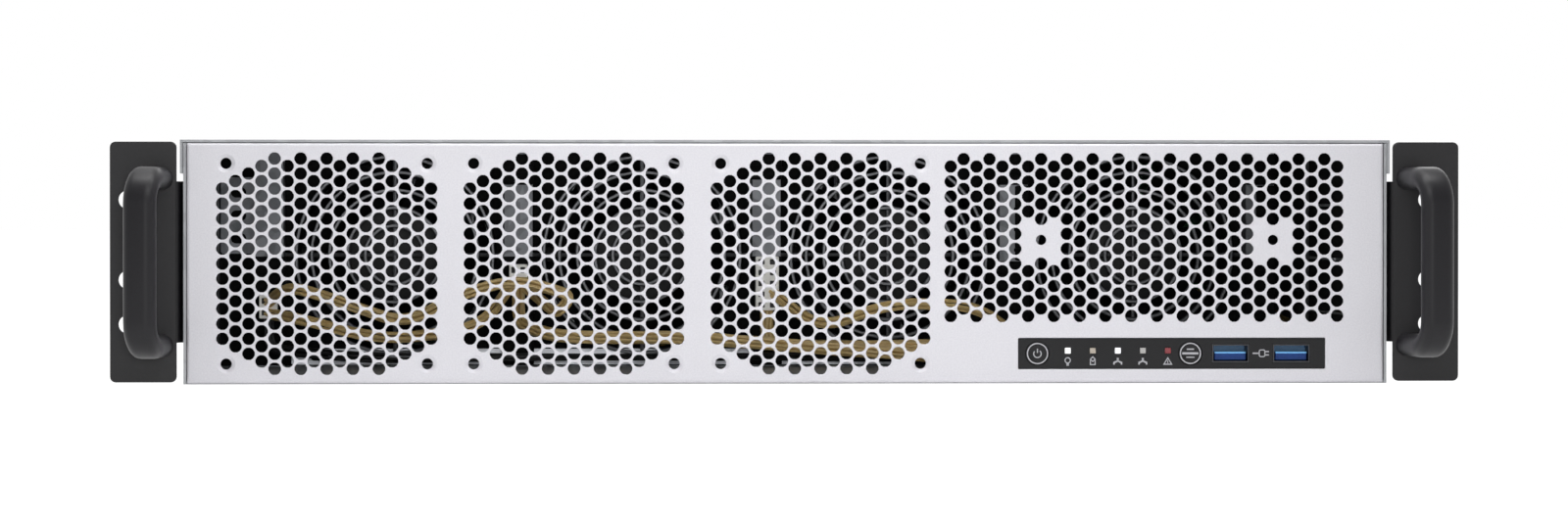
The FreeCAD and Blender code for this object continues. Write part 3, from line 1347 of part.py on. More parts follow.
def add_leads():
    """Leads from the power modules: past the fan wall and along the floor to the posts, and to the mainboard."""
    wall, back = FAN_WALL.value, (REAR - CAGE_DEPTH - S.board_sheet).value
    gate = HALF_INSIDE.value - S.slide_gap.value - S.lead_notch_width.value / 2
    post = wall - (S.post_depth + S.lead_connector_depth / 2).value
    pitch = S.fan_pitch.value
    left, stub = CAGE_LEFT.value, back - S.lead_stub.value
    start, length = POWER_SOCKETS[0]
    socket = (POWER_SOCKET_LEFT + S.power_socket_width / 2).value, BOARD_FRONT.value + start + length / 2
    socket_top = (BOARD_TOP + S.power_socket_height).value
    thin, thick = S.lead_radius.value, S.loom_radius.value
    yellow = [
        [(left + 30, back, 30), (left + 30, stub, 30), (gate, stub - 46, 22), (gate, wall - 30, 24),
         (90, wall - 42, 14), (0, post, 9), (0, post, 23)],
        [(left + 40, back, 20), (left + 40, stub, 20), (gate, stub - 40, 14), (gate, wall - 26, 16),
         (60, wall - 34, 5), (-84, wall - 44, 12), (-pitch, post, 18), (-pitch, post, 32)],
    ]
    black = [(left + 22, back, 14), (left + 22, stub, 14), (gate, stub - 34, 7), (gate, wall - 22, 8),
             (60, wall - 26, 5), (-160, wall - 32, 5), (-2 * pitch, post, 8), (-2 * pitch, post, 20)]
    loom = [(left + 10, back, 52), (left + 10, stub, 52), (*socket, 44), (*socket, socket_top)]
    runs = {
        "yellow_leads": [(points, thin) for points in yellow],
        "black_leads": [(black, thin), (loom, thick)],
    }
    for name, leads in runs.items():
        tubes = [tube([Vector(*point) for point in points], radius) for points, radius in leads]
        node(made(name, Part.makeCompound(tubes)), name)


def check_and_write():
    """Writes each sub-part after every object and shape is found sound."""
    DOC.recompute()
    failed = [obj.Name for obj in DOC.Objects if {"Invalid", "Error"} & set(obj.State)]
    failed += [obj.Label for obj in NODES if obj.Shape.isNull() or not obj.Shape.isValid()]
    if failed:
        raise RuntimeError(f"These did not build: {failed}")
    os.makedirs("parts", exist_ok=True)
    for obj in NODES:
        obj.Shape.exportStep(f"parts/{obj.Label}.step")


def build():
    """Makes every sub-part, case first, then from the front to the rear."""
    add_tray()
    add_cover()
    add_front_panel()
    add_ears()
    add_handles()
    add_control_strip()
    add_buttons()
    add_strip_board()
    add_fan_wall()
    add_fans()
    add_fan_guards()
    add_mainboard()
    add_processors()
    add_memory()
    add_rear_ports()
    add_rear_panel()
    add_cards()
    add_cage()
    add_modules()
    add_power_sockets()
    add_leads()
    check_and_write()


build()
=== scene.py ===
"""Looks of a two-unit rack server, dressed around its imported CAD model.

The classes count in millimetres and Blender in metres; +Z is up and the front faces -Y.
"""
import logging
import math
from dataclasses import dataclass
from enum import Enum
from itertools import product
from typing import Iterable, Sequence

import bmesh
import bpy
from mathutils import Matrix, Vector
from mathutils.geometry import delaunay_2d_cdt


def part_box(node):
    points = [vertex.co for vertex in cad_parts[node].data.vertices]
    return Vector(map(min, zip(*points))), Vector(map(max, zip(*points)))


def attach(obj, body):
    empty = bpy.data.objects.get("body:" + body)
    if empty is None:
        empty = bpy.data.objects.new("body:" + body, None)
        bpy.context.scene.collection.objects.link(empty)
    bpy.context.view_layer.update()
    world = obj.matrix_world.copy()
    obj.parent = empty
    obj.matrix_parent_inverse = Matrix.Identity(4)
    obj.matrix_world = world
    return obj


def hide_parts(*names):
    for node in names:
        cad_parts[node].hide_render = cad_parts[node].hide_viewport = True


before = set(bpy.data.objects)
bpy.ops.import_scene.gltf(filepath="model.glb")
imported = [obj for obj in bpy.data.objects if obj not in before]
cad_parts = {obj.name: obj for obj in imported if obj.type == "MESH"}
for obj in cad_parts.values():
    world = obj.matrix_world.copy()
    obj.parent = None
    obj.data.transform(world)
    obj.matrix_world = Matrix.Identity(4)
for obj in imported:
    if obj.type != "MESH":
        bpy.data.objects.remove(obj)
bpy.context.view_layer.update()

LOG = logging.getLogger("rack_server")
MM = 0.001
SMOOTH_UNDER = math.radians(35)
BRUSH_STRETCH = (0.02, 1.0, 1.0)
WHITE = (1.0, 1.0, 1.0, 1.0)
SIDES = (("left", -1), ("right", 1))
SIGN_LINE = 0.36
Flat = tuple[float, float]
Spot = tuple[float, float, float]
Span = tuple[Spot, Spot]
Rim = list[tuple[list[Flat], float]]


def linear(hex_colour: str) -> tuple[float, float, float, float]:
    """Turns an sRGB hex colour to linear light.

    Args:
        hex_colour: Colour such as "#DCDCE0".

    Returns:
        Red, green, blue and a full alpha.
    """
    channels = [int(hex_colour[i:i + 2], 16) / 255 for i in (1, 3, 5)]
    lit = [c / 12.92 if c <= 0.04045 else ((c + 0.055) / 1.055) ** 2.4 for c in channels]
    return (lit[0], lit[1], lit[2], 1.0)


def empty_tree(owner: bpy.types.Material | bpy.types.World) -> bpy.types.NodeTree:
    """Turns the nodes of a material or of the world on and clears them.

    Args:
        owner: Material or world.

    Returns:
        Its empty node tree.
    """
    owner.use_nodes = True
    owner.node_tree.nodes.clear()
    return owner.node_tree


def add_node(tree: bpy.types.NodeTree, kind: str, settings: dict, links: dict) -> bpy.types.Node:
    """Adds one node to a tree.

    Args:
        tree: Node tree of a material or of the world.
        kind: Blender's name of the node type.
        settings: Values by input name or number, or by attribute name.
        links: Output sockets by the input that they feed.

    Returns:
        The new node.
    """
    node = tree.nodes.new(kind)
    for key, value in settings.items():
        if isinstance(key, int) or key in node.inputs:
            node.inputs[key].default_value = value
        else:
            setattr(node, key, value)
    for key, output in links.items():
        tree.links.new(output, node.inputs[key])
    return node


def put(name: str, data: bpy.types.ID) -> bpy.types.Object:
    """Puts a new object into the scene.

    Args:
        name: Name of the object.
        data: Mesh, light or camera that it shows.

    Returns:
        The new object.
    """
    item = bpy.data.objects.new(name, data)
    bpy.context.scene.collection.objects.link(item)
    return item


def at(x: float, y: float, z: float) -> Vector:
    """Point in millimetres."""
    return Vector((x, y, z))


def spaced(count: int, step: float, middle: float = 0.0) -> list[float]:
    """Places at even steps about a middle."""
    return [middle + (k - (count - 1) / 2) * step for k in range(count)]


def turns(steps: int) -> list[float]:
    """Even steps of a full turn in radians."""
    return [2 * math.pi * k / steps for k in range(steps)]


def quarter(steps: int) -> list[float]:
    """Even steps of a quarter turn in radians, with both ends."""
    return [math.pi / 2 * k / steps for k in range(steps + 1)]


def spokes(axis: Vector, count: int) -> list[Vector]:
    """Finds even directions at right angles to an axis.

    Args:
        axis: Direction of the axis.
        count: Number of directions.

    Returns:
        The directions in order round the axis.
    """
    across = axis.orthogonal().normalized()
    up = axis.cross(across).normalized()
    return [across * math.cos(t) + up * math.sin(t) for t in turns(count)]


def regular(centre: Flat, radius: float, sides: int) -> list[Flat]:
    """Even-sided outline with one corner to the right."""
    return [(centre[0] + radius * math.cos(t), centre[1] + radius * math.sin(t)) for t in turns(sides)]


def rounded(low: Flat, high: Flat, radius: float, steps: int = 4) -> list[Flat]:
    """Draws a rectangle with round corners.

    Args:
        low: Lower left corner.
        high: Upper right corner.
        radius: Radius of the corners.
        steps: Number of steps in a corner.

    Returns:
        Outline from the lower left corner on.
    """
    outline = []
    for x, y, start in ((low[0], low[1], 180), (high[0], low[1], 270), (high[0], high[1], 0),
                        (low[0], high[1], 90)):
        middle = (x + math.copysign(radius, (low[0] + high[0]) / 2 - x),
                  y + math.copysign(radius, (low[1] + high[1]) / 2 - y))
        for k in range(steps + 1):
            turn = math.radians(start + 90 * k / steps)
            outline.append((middle[0] + radius * math.cos(turn), middle[1] + radius * math.sin(turn)))
    return outline


def framed(low: Flat, high: Flat, inset: float, radius: float, steps: int = 4) -> list[Flat]:
    """Rounded outline that lies an inset inside two corners, or outside them if it is below zero."""
    return rounded((low[0] + inset, low[1] + inset), (high[0] - inset, high[1] - inset), radius, steps)


def about(centre: Flat, half: Flat, radius: float, steps: int = 4) -> list[Flat]:
    """Rounded outline about a centre, from half of its width and height."""
    low = (centre[0] - half[0], centre[1] - half[1])
    return rounded(low, (centre[0] + half[0], centre[1] + half[1]), radius, steps)


def clipped(outline: Sequence[Flat], cut: float) -> list[Flat]:
    """Replaces each corner of an outline by a short side.

    Args:
        outline: Corners in order.
        cut: Length that is taken off each side at a corner.

    Returns:
        The new corners, two for each old one.
    """
    points = []
    for before, corner, after in zip([outline[-1], *outline[:-1]], outline, [*outline[1:], outline[0]]):
        for target in (before, after):
            share = cut / math.dist(corner, target)
            points.append((corner[0] + (target[0] - corner[0]) * share,
                           corner[1] + (target[1] - corner[1]) * share))
    return points


def straight(outline: list[Flat], depth: float) -> Rim:
    """Rim that goes straight through a sheet."""
    return [(outline, 0.0), (outline, depth)]


class Pattern(Enum):
    """How a finish varies over its surface."""

    SPECKLE = "grains of a powder coat or of a moulded texture"
    SPANGLE = "crystals of a zinc coat"
    BRUSHED = "lines of drawn or brushed metal"
    TRACKS = "copper tracks under solder mask"


@dataclass(frozen=True)
class Finish:
    """One surface finish, made into a node material when it is first used."""

    name: str
    colour: str
    second: str
    roughness: float
    pattern: Pattern = Pattern.SPECKLE
    grain_mm: float = 1.0
    relief_mm: float = 0.01
    metallic: float = 0.0
    ior: float = 1.5
    swing: float = 0.08
    coat: float = 0.0
    glow: float = 0.0

    def wave(self, tree: bpy.types.NodeTree, place: bpy.types.NodeSocket) -> bpy.types.NodeSocket:
        """Adds the pattern's texture to a tree.

        Args:
            tree: Node tree of the material.
            place: Output that carries the place on the object.

        Returns:
            Output that swings between zero and one with the pattern.
        """
        stretch = BRUSH_STRETCH if self.pattern is Pattern.BRUSHED else (1.0, 1.0, 1.0)
        scale = [share / (self.grain_mm * MM) for share in stretch]
        spread = add_node(tree, "ShaderNodeMapping", {"Scale": scale}, {"Vector": place})
        vector = {"Vector": spread.outputs["Vector"]}
        if self.pattern is Pattern.SPANGLE:
            cells = add_node(tree, "ShaderNodeTexVoronoi", {"Scale": 1.0, "Randomness": 1.0}, vector)
            split = add_node(tree, "ShaderNodeSeparateColor", {}, {"Color": cells.outputs["Color"]})
            return split.outputs["Red"]
        if self.pattern is Pattern.TRACKS:
            bricks = add_node(tree, "ShaderNodeTexBrick", {
                "Scale": 0.25, "Mortar Size": 0.06, "Mortar Smooth": 0.0, "Bias": 0.0, "Brick Width": 2.4,
                "Color1": (0.0, 0.0, 0.0, 1.0), "Color2": (0.35, 0.35, 0.35, 1.0), "Mortar": WHITE}, vector)
            return bricks.outputs["Color"]
        grains = add_node(tree, "ShaderNodeTexNoise", {"Scale": 1.0, "Detail": 3.0, "Roughness": 0.6}, vector)
        return grains.outputs["Fac"]

    def material(self) -> bpy.types.Material:
        """Finds or makes the material.

        Returns:
            Node material with colour, roughness and relief from the finish's pattern.
        """
        known = bpy.data.materials.get(self.name)
        if known is not None:
            return known
        material = bpy.data.materials.new(self.name)
        tree = empty_tree(material)
        place = add_node(tree, "ShaderNodeTexCoord", {}, {}).outputs["Object"]
        wave = self.wave(tree, place)
        broad = add_node(tree, "ShaderNodeTexNoise", {"Scale": 9.0, "Detail": 2.0}, {"Vector": place})
        core = {"From Min": 0.3, "From Max": 0.7}
        share = add_node(tree, "ShaderNodeMapRange", core, {"Value": wave})
        tint = add_node(tree, "ShaderNodeMix",
                        {"data_type": "RGBA", 6: linear(self.colour), 7: linear(self.second)},
                        {0: share.outputs["Result"]})
        drift = add_node(tree, "ShaderNodeMapRange", core | {"To Min": 0.94}, {"Value": broad.outputs["Fac"]})
        shade = add_node(tree, "ShaderNodeMix", {"data_type": "RGBA", "blend_type": "MULTIPLY", 0: 1.0},
                         {6: tint.outputs[2], 7: drift.outputs["Result"]})
        dull = add_node(tree, "ShaderNodeMapRange",
                        {"To Min": self.roughness - self.swing, "To Max": self.roughness + self.swing},
                        {"Value": wave})
        relief = add_node(tree, "ShaderNodeBump", {"Strength": 0.6, "Distance": self.relief_mm * MM},
                          {"Height": wave})
        shader = add_node(tree, "ShaderNodeBsdfPrincipled",
                          {"Metallic": self.metallic, "IOR": self.ior, "Coat Weight": self.coat,
                           "Coat Roughness": 0.15, "Emission Color": linear(self.colour),
                           "Emission Strength": self.glow},
                          {"Base Color": shade.outputs[2], "Roughness": dull.outputs["Result"],
                           "Normal": relief.outputs["Normal"]})
        add_node(tree, "ShaderNodeOutputMaterial", {}, {"Surface": shader.outputs["BSDF"]})
        return material


# Powder-coated steel: even satin silver with a very fine sparkle; its grain is drawn coarser so as to show
SILVER_COAT = Finish("powder_coated_steel_silver", "#DCDBE0", "#D2D1D7", 0.45, grain_mm=0.6, metallic=0.15)
# Galvanised steel: cool grey with soft patches of zinc crystals
GALVANISED = Finish("galvanised_steel", "#A8AAAD", "#A0A2A5", 0.48, Pattern.SPANGLE, 6.0, metallic=0.5,
                    swing=0.03)
# Galvanised steel with painted shade for the posts and the end plate inside the fan bay: the same crystals,
# darker and greyer
SHADED_ZINC = Finish("galvanised_steel_painted_shade", "#86888C", "#787A7E", 0.5, Pattern.SPANGLE, 6.0, metallic=0.6,
                   swing=0.05)
# Satin black paint on steel: soft broad highlights and a faint orange peel
BLACK_PAINT = Finish("satin_black_paint", "#161518", "#131215", 0.4, grain_mm=0.9, ior=1.45)
# Matt black primer with hardly any highlight: the fan wall's own black, and painted shade on the post sleeves
# and the side strips, so that the bay stays dark behind the holes
MATT_BLACK_AND_SHADE = Finish("matt_black_primer_and_painted_shade", "#0E0E0F", "#0B0B0C", 0.85, grain_mm=1.2, ior=1.3)
# Black anodised aluminium of the handles: silky, with clear highlights along the bends
BLACK_ANODISED = Finish("black_anodised_aluminium", "#1D1C20", "#19181B", 0.4, grain_mm=0.5, ior=1.36)
# Moulded black ABS: fine spark-eroded texture with a low, even sheen
BLACK_ABS = Finish("black_moulded_abs", "#1B1B1D", "#171719", 0.5, grain_mm=0.4, ior=1.36)
# Glass-filled plastic of the fans: nearly black and a little coarser
FAN_PLASTIC = Finish("glass_filled_fan_plastic", "#151517", "#111113", 0.5, grain_mm=0.8, ior=1.4)
# Black nylon of the board's sockets: greyer and drier than the ABS
SOCKET_PLASTIC = Finish("black_nylon_socket", "#242427", "#1C1C1F", 0.55, grain_mm=0.5)
# Zinc-plated steel: bright, slightly bluish, with fine drawing lines
ZINC_PLATE = Finish("zinc_plated_steel", "#C4C6CB", "#AEB0B6", 0.3, Pattern.BRUSHED, 0.4, metallic=1.0)
# Black zinc of the ear screws: dark, with a clear sheen of metal
BLACK_ZINC = Finish("black_zinc_screw", "#2B2B2E", "#232326", 0.35, Pattern.BRUSHED, 0.4, metallic=0.8)
# Drawn wire of the guards: dulled by a dark chromate
DARK_WIRE = Finish("chromated_steel_wire", "#7C7D80", "#6A6B6E", 0.4, Pattern.BRUSHED, 0.4, metallic=0.8)
# Nickel plate of shells and pins: bright, smooth and slightly warm
NICKEL = Finish("nickel_plated_steel", "#C9C8C6", "#BDBCB9", 0.24, grain_mm=0.7, metallic=1.0)
# Black nickel of the front sockets: smooth dark grey metal
BLACK_NICKEL = Finish("black_nickel_shell", "#4C4C4F", "#434346", 0.36, grain_mm=0.7, metallic=1.0)
# Gold plate of contacts: small warm glints
GOLD_PLATE = Finish("gold_plated_contact", "#D9B45A", "#C9A146", 0.28, grain_mm=0.4, metallic=1.0)
# Turned brass: yellow with fine tool lines
BRASS = Finish("turned_brass", "#C9A85C", "#B8954A", 0.32, Pattern.BRUSHED, 0.3, metallic=1.0)
# Extruded aluminium: pale, with lines along the extrusion
ALUMINIUM = Finish("extruded_aluminium", "#D3D5D8", "#C2C4C8", 0.36, Pattern.BRUSHED, 0.5, metallic=1.0)
# Solder mask over copper: glossy green with slightly lighter tracks
SOLDER_MASK = Finish("green_solder_mask", "#1C5A37", "#2E7349", 0.32, Pattern.TRACKS, 6.0, coat=0.2)
# Moulded epoxy of chips: flat dark grey
CHIP_EPOXY = Finish("black_epoxy_chip", "#26262A", "#202024", 0.5, grain_mm=0.3)
# Natural nylon of connectors: milky white, with a faint painted glow that brightens it in the dark bay
WHITE_NYLON_GLOW = Finish("natural_nylon_painted_glow", "#F4F3EE", "#ECEAE3", 0.45, grain_mm=0.8, glow=0.15)
# Moulded blue nylon of the sockets, one blue in three tones: a painted highlight with a faint glow along the
# tongue's edge, a lighter painted tone on the back wall, and the deep blue of the tongue
BLUE_NYLON_HIGHLIGHT = Finish("blue_nylon_painted_highlight", "#6FB4EA", "#62A6DC", 0.3, grain_mm=0.5, glow=0.15)
BLUE_NYLON_LIT_WALL = Finish("blue_nylon_wall_painted_light", "#57A0DE", "#4C92CE", 0.3, grain_mm=0.5)
BLUE_NYLON = Finish("blue_nylon_tongue", "#0A3A80", "#083270", 0.4, grain_mm=0.6, ior=1.36)
# Moulded green nylon of the release levers: plain and semi-matt
LATCH_NYLON = Finish("green_nylon_latch", "#2F7A4E", "#286B44", 0.45, grain_mm=0.6)
# Extruded PVC of wire insulation: waxy, pale ochre or black
YELLOW_PVC = Finish("yellow_pvc_insulation", "#F0D394", "#E6C580", 0.42, grain_mm=2.0)
BLACK_PVC = Finish("black_pvc_insulation", "#1D1D1E", "#161617", 0.42, grain_mm=2.0)
# Screen-printed ink of the signs: matt light grey
GREY_INK = Finish("screen_printed_grey_ink", "#B9B9BE", "#ACACB1", 0.6, grain_mm=0.3)
# Frosted light pipes: two faintly lit, the others dull
LENS_FINISHES = (
    Finish("lens_white", "#F2F2F2", "#E6E6E6", 0.3, grain_mm=0.4, glow=0.5),
    Finish("lens_warm", "#B9AFA2", "#A89E90", 0.3, grain_mm=0.4),
    Finish("lens_cool_white", "#F0F1F4", "#E4E5E8", 0.3, grain_mm=0.4, glow=0.5),
    Finish("lens_grey", "#B4B2B0", "#A5A3A1", 0.3, grain_mm=0.4),
    Finish("lens_red", "#8C343A", "#7A2A30", 0.3, grain_mm=0.4),
)


class Solid:
    """Mesh that is put together in millimetres."""

    def __init__(self) -> None:
        """Starts with no points."""
        self.points: list[Vector] = []
        self.faces: list[Sequence[int]] = []
        self.level_faces: set[int] = set()

    def loop(self, points: Iterable[Vector]) -> list[int]:
        """Adds points.

        Args:
            points: Points of one loop.

        Returns:
            Their numbers.
        """
        start = len(self.points)
        self.points.extend(points)
        return list(range(start, len(self.points)))

    def bridge(self, rows: Sequence[Sequence[int]]) -> None:
        """Joins closed loops in order by bands of faces.

        Args:
            rows: Point numbers of each loop, all of the same length.
        """
        for first, second in zip(rows, rows[1:]):
            for i in range(len(first)):
                k = (i + 1) % len(first)
                self.faces.append((first[i], first[k], second[k], second[i]))

    def skin(self, loops: Iterable[Iterable[Vector]], closed: bool = False) -> None:
        """Joins loops of points in order.

        Args:
            loops: Loops of the same length.
            closed: Whether the last loop joins the first one; otherwise each of them gets a face.
        """
        rows = [self.loop(points) for points in loops]
        if closed:
            self.bridge(rows + rows[:1])
        else:
            self.bridge(rows)
            self.faces += [tuple(reversed(rows[0])), tuple(rows[-1])]

    def block(self, low: Vector, high: Vector, soft: float = 0.2) -> None:
        """Adds a box with its edges taken off.

        Args:
            low: Corner with the lowest numbers.
            high: Corner with the highest numbers.
            soft: Width that is taken off each edge.
        """
        soft = min(soft, 0.45 * min(high - low))
        loops = []
        for z, inset in ((low.z, soft), (low.z + soft, 0.0), (high.z - soft, 0.0), (high.z, soft)):
            x0, x1, y0, y1 = low.x + inset, high.x - inset, low.y + inset, high.y - inset
            outline = ((x0 + soft, y0), (x1 - soft, y0), (x1, y0 + soft), (x1, y1 - soft), (x1 - soft, y1),
                       (x0 + soft, y1), (x0, y1 - soft), (x0, y0 + soft))
            loops.append([at(x, y, z) for x, y in outline])
        self.skin(loops)

    def box(self, place: Spot, span: Span, soft: float = 0.2) -> None:
        """Adds a block whose two corners count from a place."""
        low, high = (at(*(start + step for start, step in zip(place, corner))) for corner in span)
        self.block(low, high, soft)

    def turned(self, foot: Vector, axis: Vector, profile: Sequence[Flat], sides: int = 28) -> None:
        """Adds a turned form.

        Args:
            foot: Point on the axis from which the profile counts.
            axis: Direction of the axis.
            profile: Pairs of a radius and a distance along the axis.
            sides: Number of sides.
        """
        around = spokes(axis, sides)
        self.skin([foot + axis * along + out * radius for out in around] for radius, along in profile)

    def ring(self, centre: Vector, axis: Vector, radius: float, wire: float, sides: int = 48) -> None:
        """Adds a closed ring of round wire.

        Args:
            centre: Middle of the ring.
            axis: Direction through the ring.
            radius: Radius of the wire's middle line.
            wire: Radius of the wire.
            sides: Number of pieces round the ring.
        """
        loops = []
        for out in spokes(axis, sides):
            loops.append([centre + out * (radius + wire * math.cos(t)) + axis * (wire * math.sin(t))
                          for t in turns(6)])
        self.skin(loops, True)

    def sweep(self, path: Sequence[Vector], section: Sequence[Flat], side: Vector,
              closed: bool = False) -> None:
        """Adds a bar along a path.

        Args:
            path: Points of the middle line.
            section: Outline across the path, along side and at right angles to it.
            side: Direction that the section's first number takes at the start and then turns with the path.
            closed: Whether the path returns to its start.
        """
        last, first, loops = len(path) - 1, side, []
        for i, point in enumerate(path):
            before = path[i - 1 if closed else max(i - 1, 0)]
            after = path[(i + 1) % len(path) if closed else min(i + 1, last)]
            ahead = (after - before).normalized()
            first = (first - ahead * first.dot(ahead)).normalized()
            second = ahead.cross(first)
            into, out = (point - before).normalized(), (after - point).normalized()
            mitre = 1 / max(0.5, math.sqrt((1 + into.dot(out)) / 2)) if into.length and out.length else 1.0
            loops.append([point + first * a + second * (b * mitre) for a, b in section])
        self.skin(loops, closed)

    def sheet(self, edge: Rim, holes: Sequence[Rim], face: float) -> None:
        """Adds an upright sheet with holes.

        Args:
            edge: Outlines (across, up) of the sheet's rim with their depths, from the front face to the back.
            holes: The same for each hole.
            face: Place of the front face along Y.
        """
        rims = []
        for rim in [edge, *holes]:
            rims.append([self.loop(at(x, face + depth, z) for x, z in outline) for outline, depth in rim])
            self.bridge(rims[-1])
        for level in (0, -1):
            numbers = [number for rows in rims for number in rows[level]]
            owner, edges = [], []
            for rim, rows in enumerate(rims):
                row = list(range(len(owner), len(owner) + len(rows[level])))
                edges += list(zip(row, row[1:] + row[:1]))
                owner += [rim] * len(row)
            flats = [Vector((self.points[number].x, self.points[number].z)) for number in numbers]
            found = delaunay_2d_cdt(flats, edges, [], 1, 1e-6)
            for triangle in found[2]:
                corners = [found[3][corner][0] for corner in triangle]
                rims_met = {owner[corner] for corner in corners}
                if len(rims_met) > 1 or rims_met == {0}:
                    self.level_faces.add(len(self.faces))
                    self.faces.append([numbers[corner] for corner in corners])

    def build(self, name: str, finish: Finish, slot: str, body: str = "chassis",
              stands_for: str = "") -> None:
        """Makes the Blender piece and lets it ride on its body.

        Args:
            name: Name of the piece.
            finish: Its surface finish.
            slot: The record's material slot; not used.
            body: CAD body that it moves with.
            stands_for: CAD node that it replaces, if any.
        """
        mesh = bpy.data.meshes.new(name)
        mesh.from_pydata([point * MM for point in self.points], [], [list(face) for face in self.faces])
        work = bmesh.new()
        work.from_mesh(mesh)
        bmesh.ops.recalc_face_normals(work, faces=work.faces)
        work.to_mesh(mesh)
        work.free()
        mesh.set_sharp_from_angle(angle=SMOOTH_UNDER)
        mesh.polygons.foreach_set("use_smooth", [i not in self.level_faces for i in range(len(self.faces))])
        mesh.materials.append(finish.material())
        piece = put(name, mesh)
        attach(piece, body)
        if stands_for:
            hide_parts(stands_for)
        LOG.info("%s: %d faces on %s", name, len(mesh.polygons), body)


def dress(finish: Finish, nodes: Iterable[str], soft: float = 0.25) -> None:
    """Gives CAD nodes their finish and takes their sharp edges off.

    Args:
        finish: Surface finish.
        nodes: Names of CAD nodes.
        soft: Width of the softened edges in millimetres, or zero for none.
    """
    for name in nodes:
        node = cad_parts[name]
        node.data.materials.clear()
        node.data.materials.append(finish.material())
        if soft:
            edges = node.modifiers.new("softened_edges", "BEVEL")
            edges.width = soft * MM
            edges.segments = 2
            edges.limit_method = "ANGLE"
            edges.angle_limit = SMOOTH_UNDER
            edges.harden_normals = False
        LOG.info("%s: %s", name, finish.name)


def low_of(node: str) -> Vector:
    """Lowest corner of a CAD node in millimetres."""
    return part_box(node)[0] / MM


def high_of(node: str) -> Vector:
    """Highest corner of a CAD node in millimetres."""
    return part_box(node)[1] / MM


def box_of(node: str) -> tuple[Vector, Vector]:
    """Lowest and highest corner of a CAD node in millimetres."""
    return low_of(node), high_of(node)


def middle_of(node: str) -> Vector:
    """Middle of a CAD node's box in millimetres."""
    return (low_of(node) + high_of(node)) / 2


def screw_profile(radius: float, height: float) -> list[Flat]:
    """Profile of a screw head with a round edge and a recess for the driver."""
    return [(radius, 0.0), (radius, 0.45 * height), (0.86 * radius, 0.9 * height), (0.7 * radius, height),
            (0.45 * radius, height), (0.4 * radius, 0.4 * height), (0.02, 0.4 * height)]


def bow_path(reach: float, span: float, bend: float) -> list[Flat]:
    """Draws the middle line of a bow handle.

    Args:
        reach: How far it stands out.
        span: Distance between its feet.
        bend: Radius of its two bends.

    Returns:
        Pairs of a distance out and a place along the handle, from foot to foot.
    """
    half = span / 2
    first = [(reach - bend + bend * math.sin(t), bend - half - bend * math.cos(t)) for t in quarter(8)]
    return [(0.0, -half)] + first + [(out, -along) for out, along in reversed(first)] + [(0.0, half)]


def eased(route: Sequence[Vector], trim: float, steps: int = 6) -> list[Vector]:
    """Route with its corners eased into bends.

    Args:
        route: Corners of the route.
        trim: Longest part of a straight run that a bend takes.
        steps: Number of steps in a bend.

    Returns:
        Points close enough to sweep a wire along.
    """
    points = [route[0]]
    for before, corner, after in zip(route, route[1:], route[2:]):
        into, out = before - corner, after - corner
        cut = min(trim, 0.45 * into.length, 0.45 * out.length)
        start, end = corner + into.normalized() * cut, corner + out.normalized() * cut
        for share in (k / steps for k in range(steps + 1)):
            points.append(start * (1 - share) ** 2 + corner * 2 * share * (1 - share) + end * share ** 2)
    return points + [route[-1]]


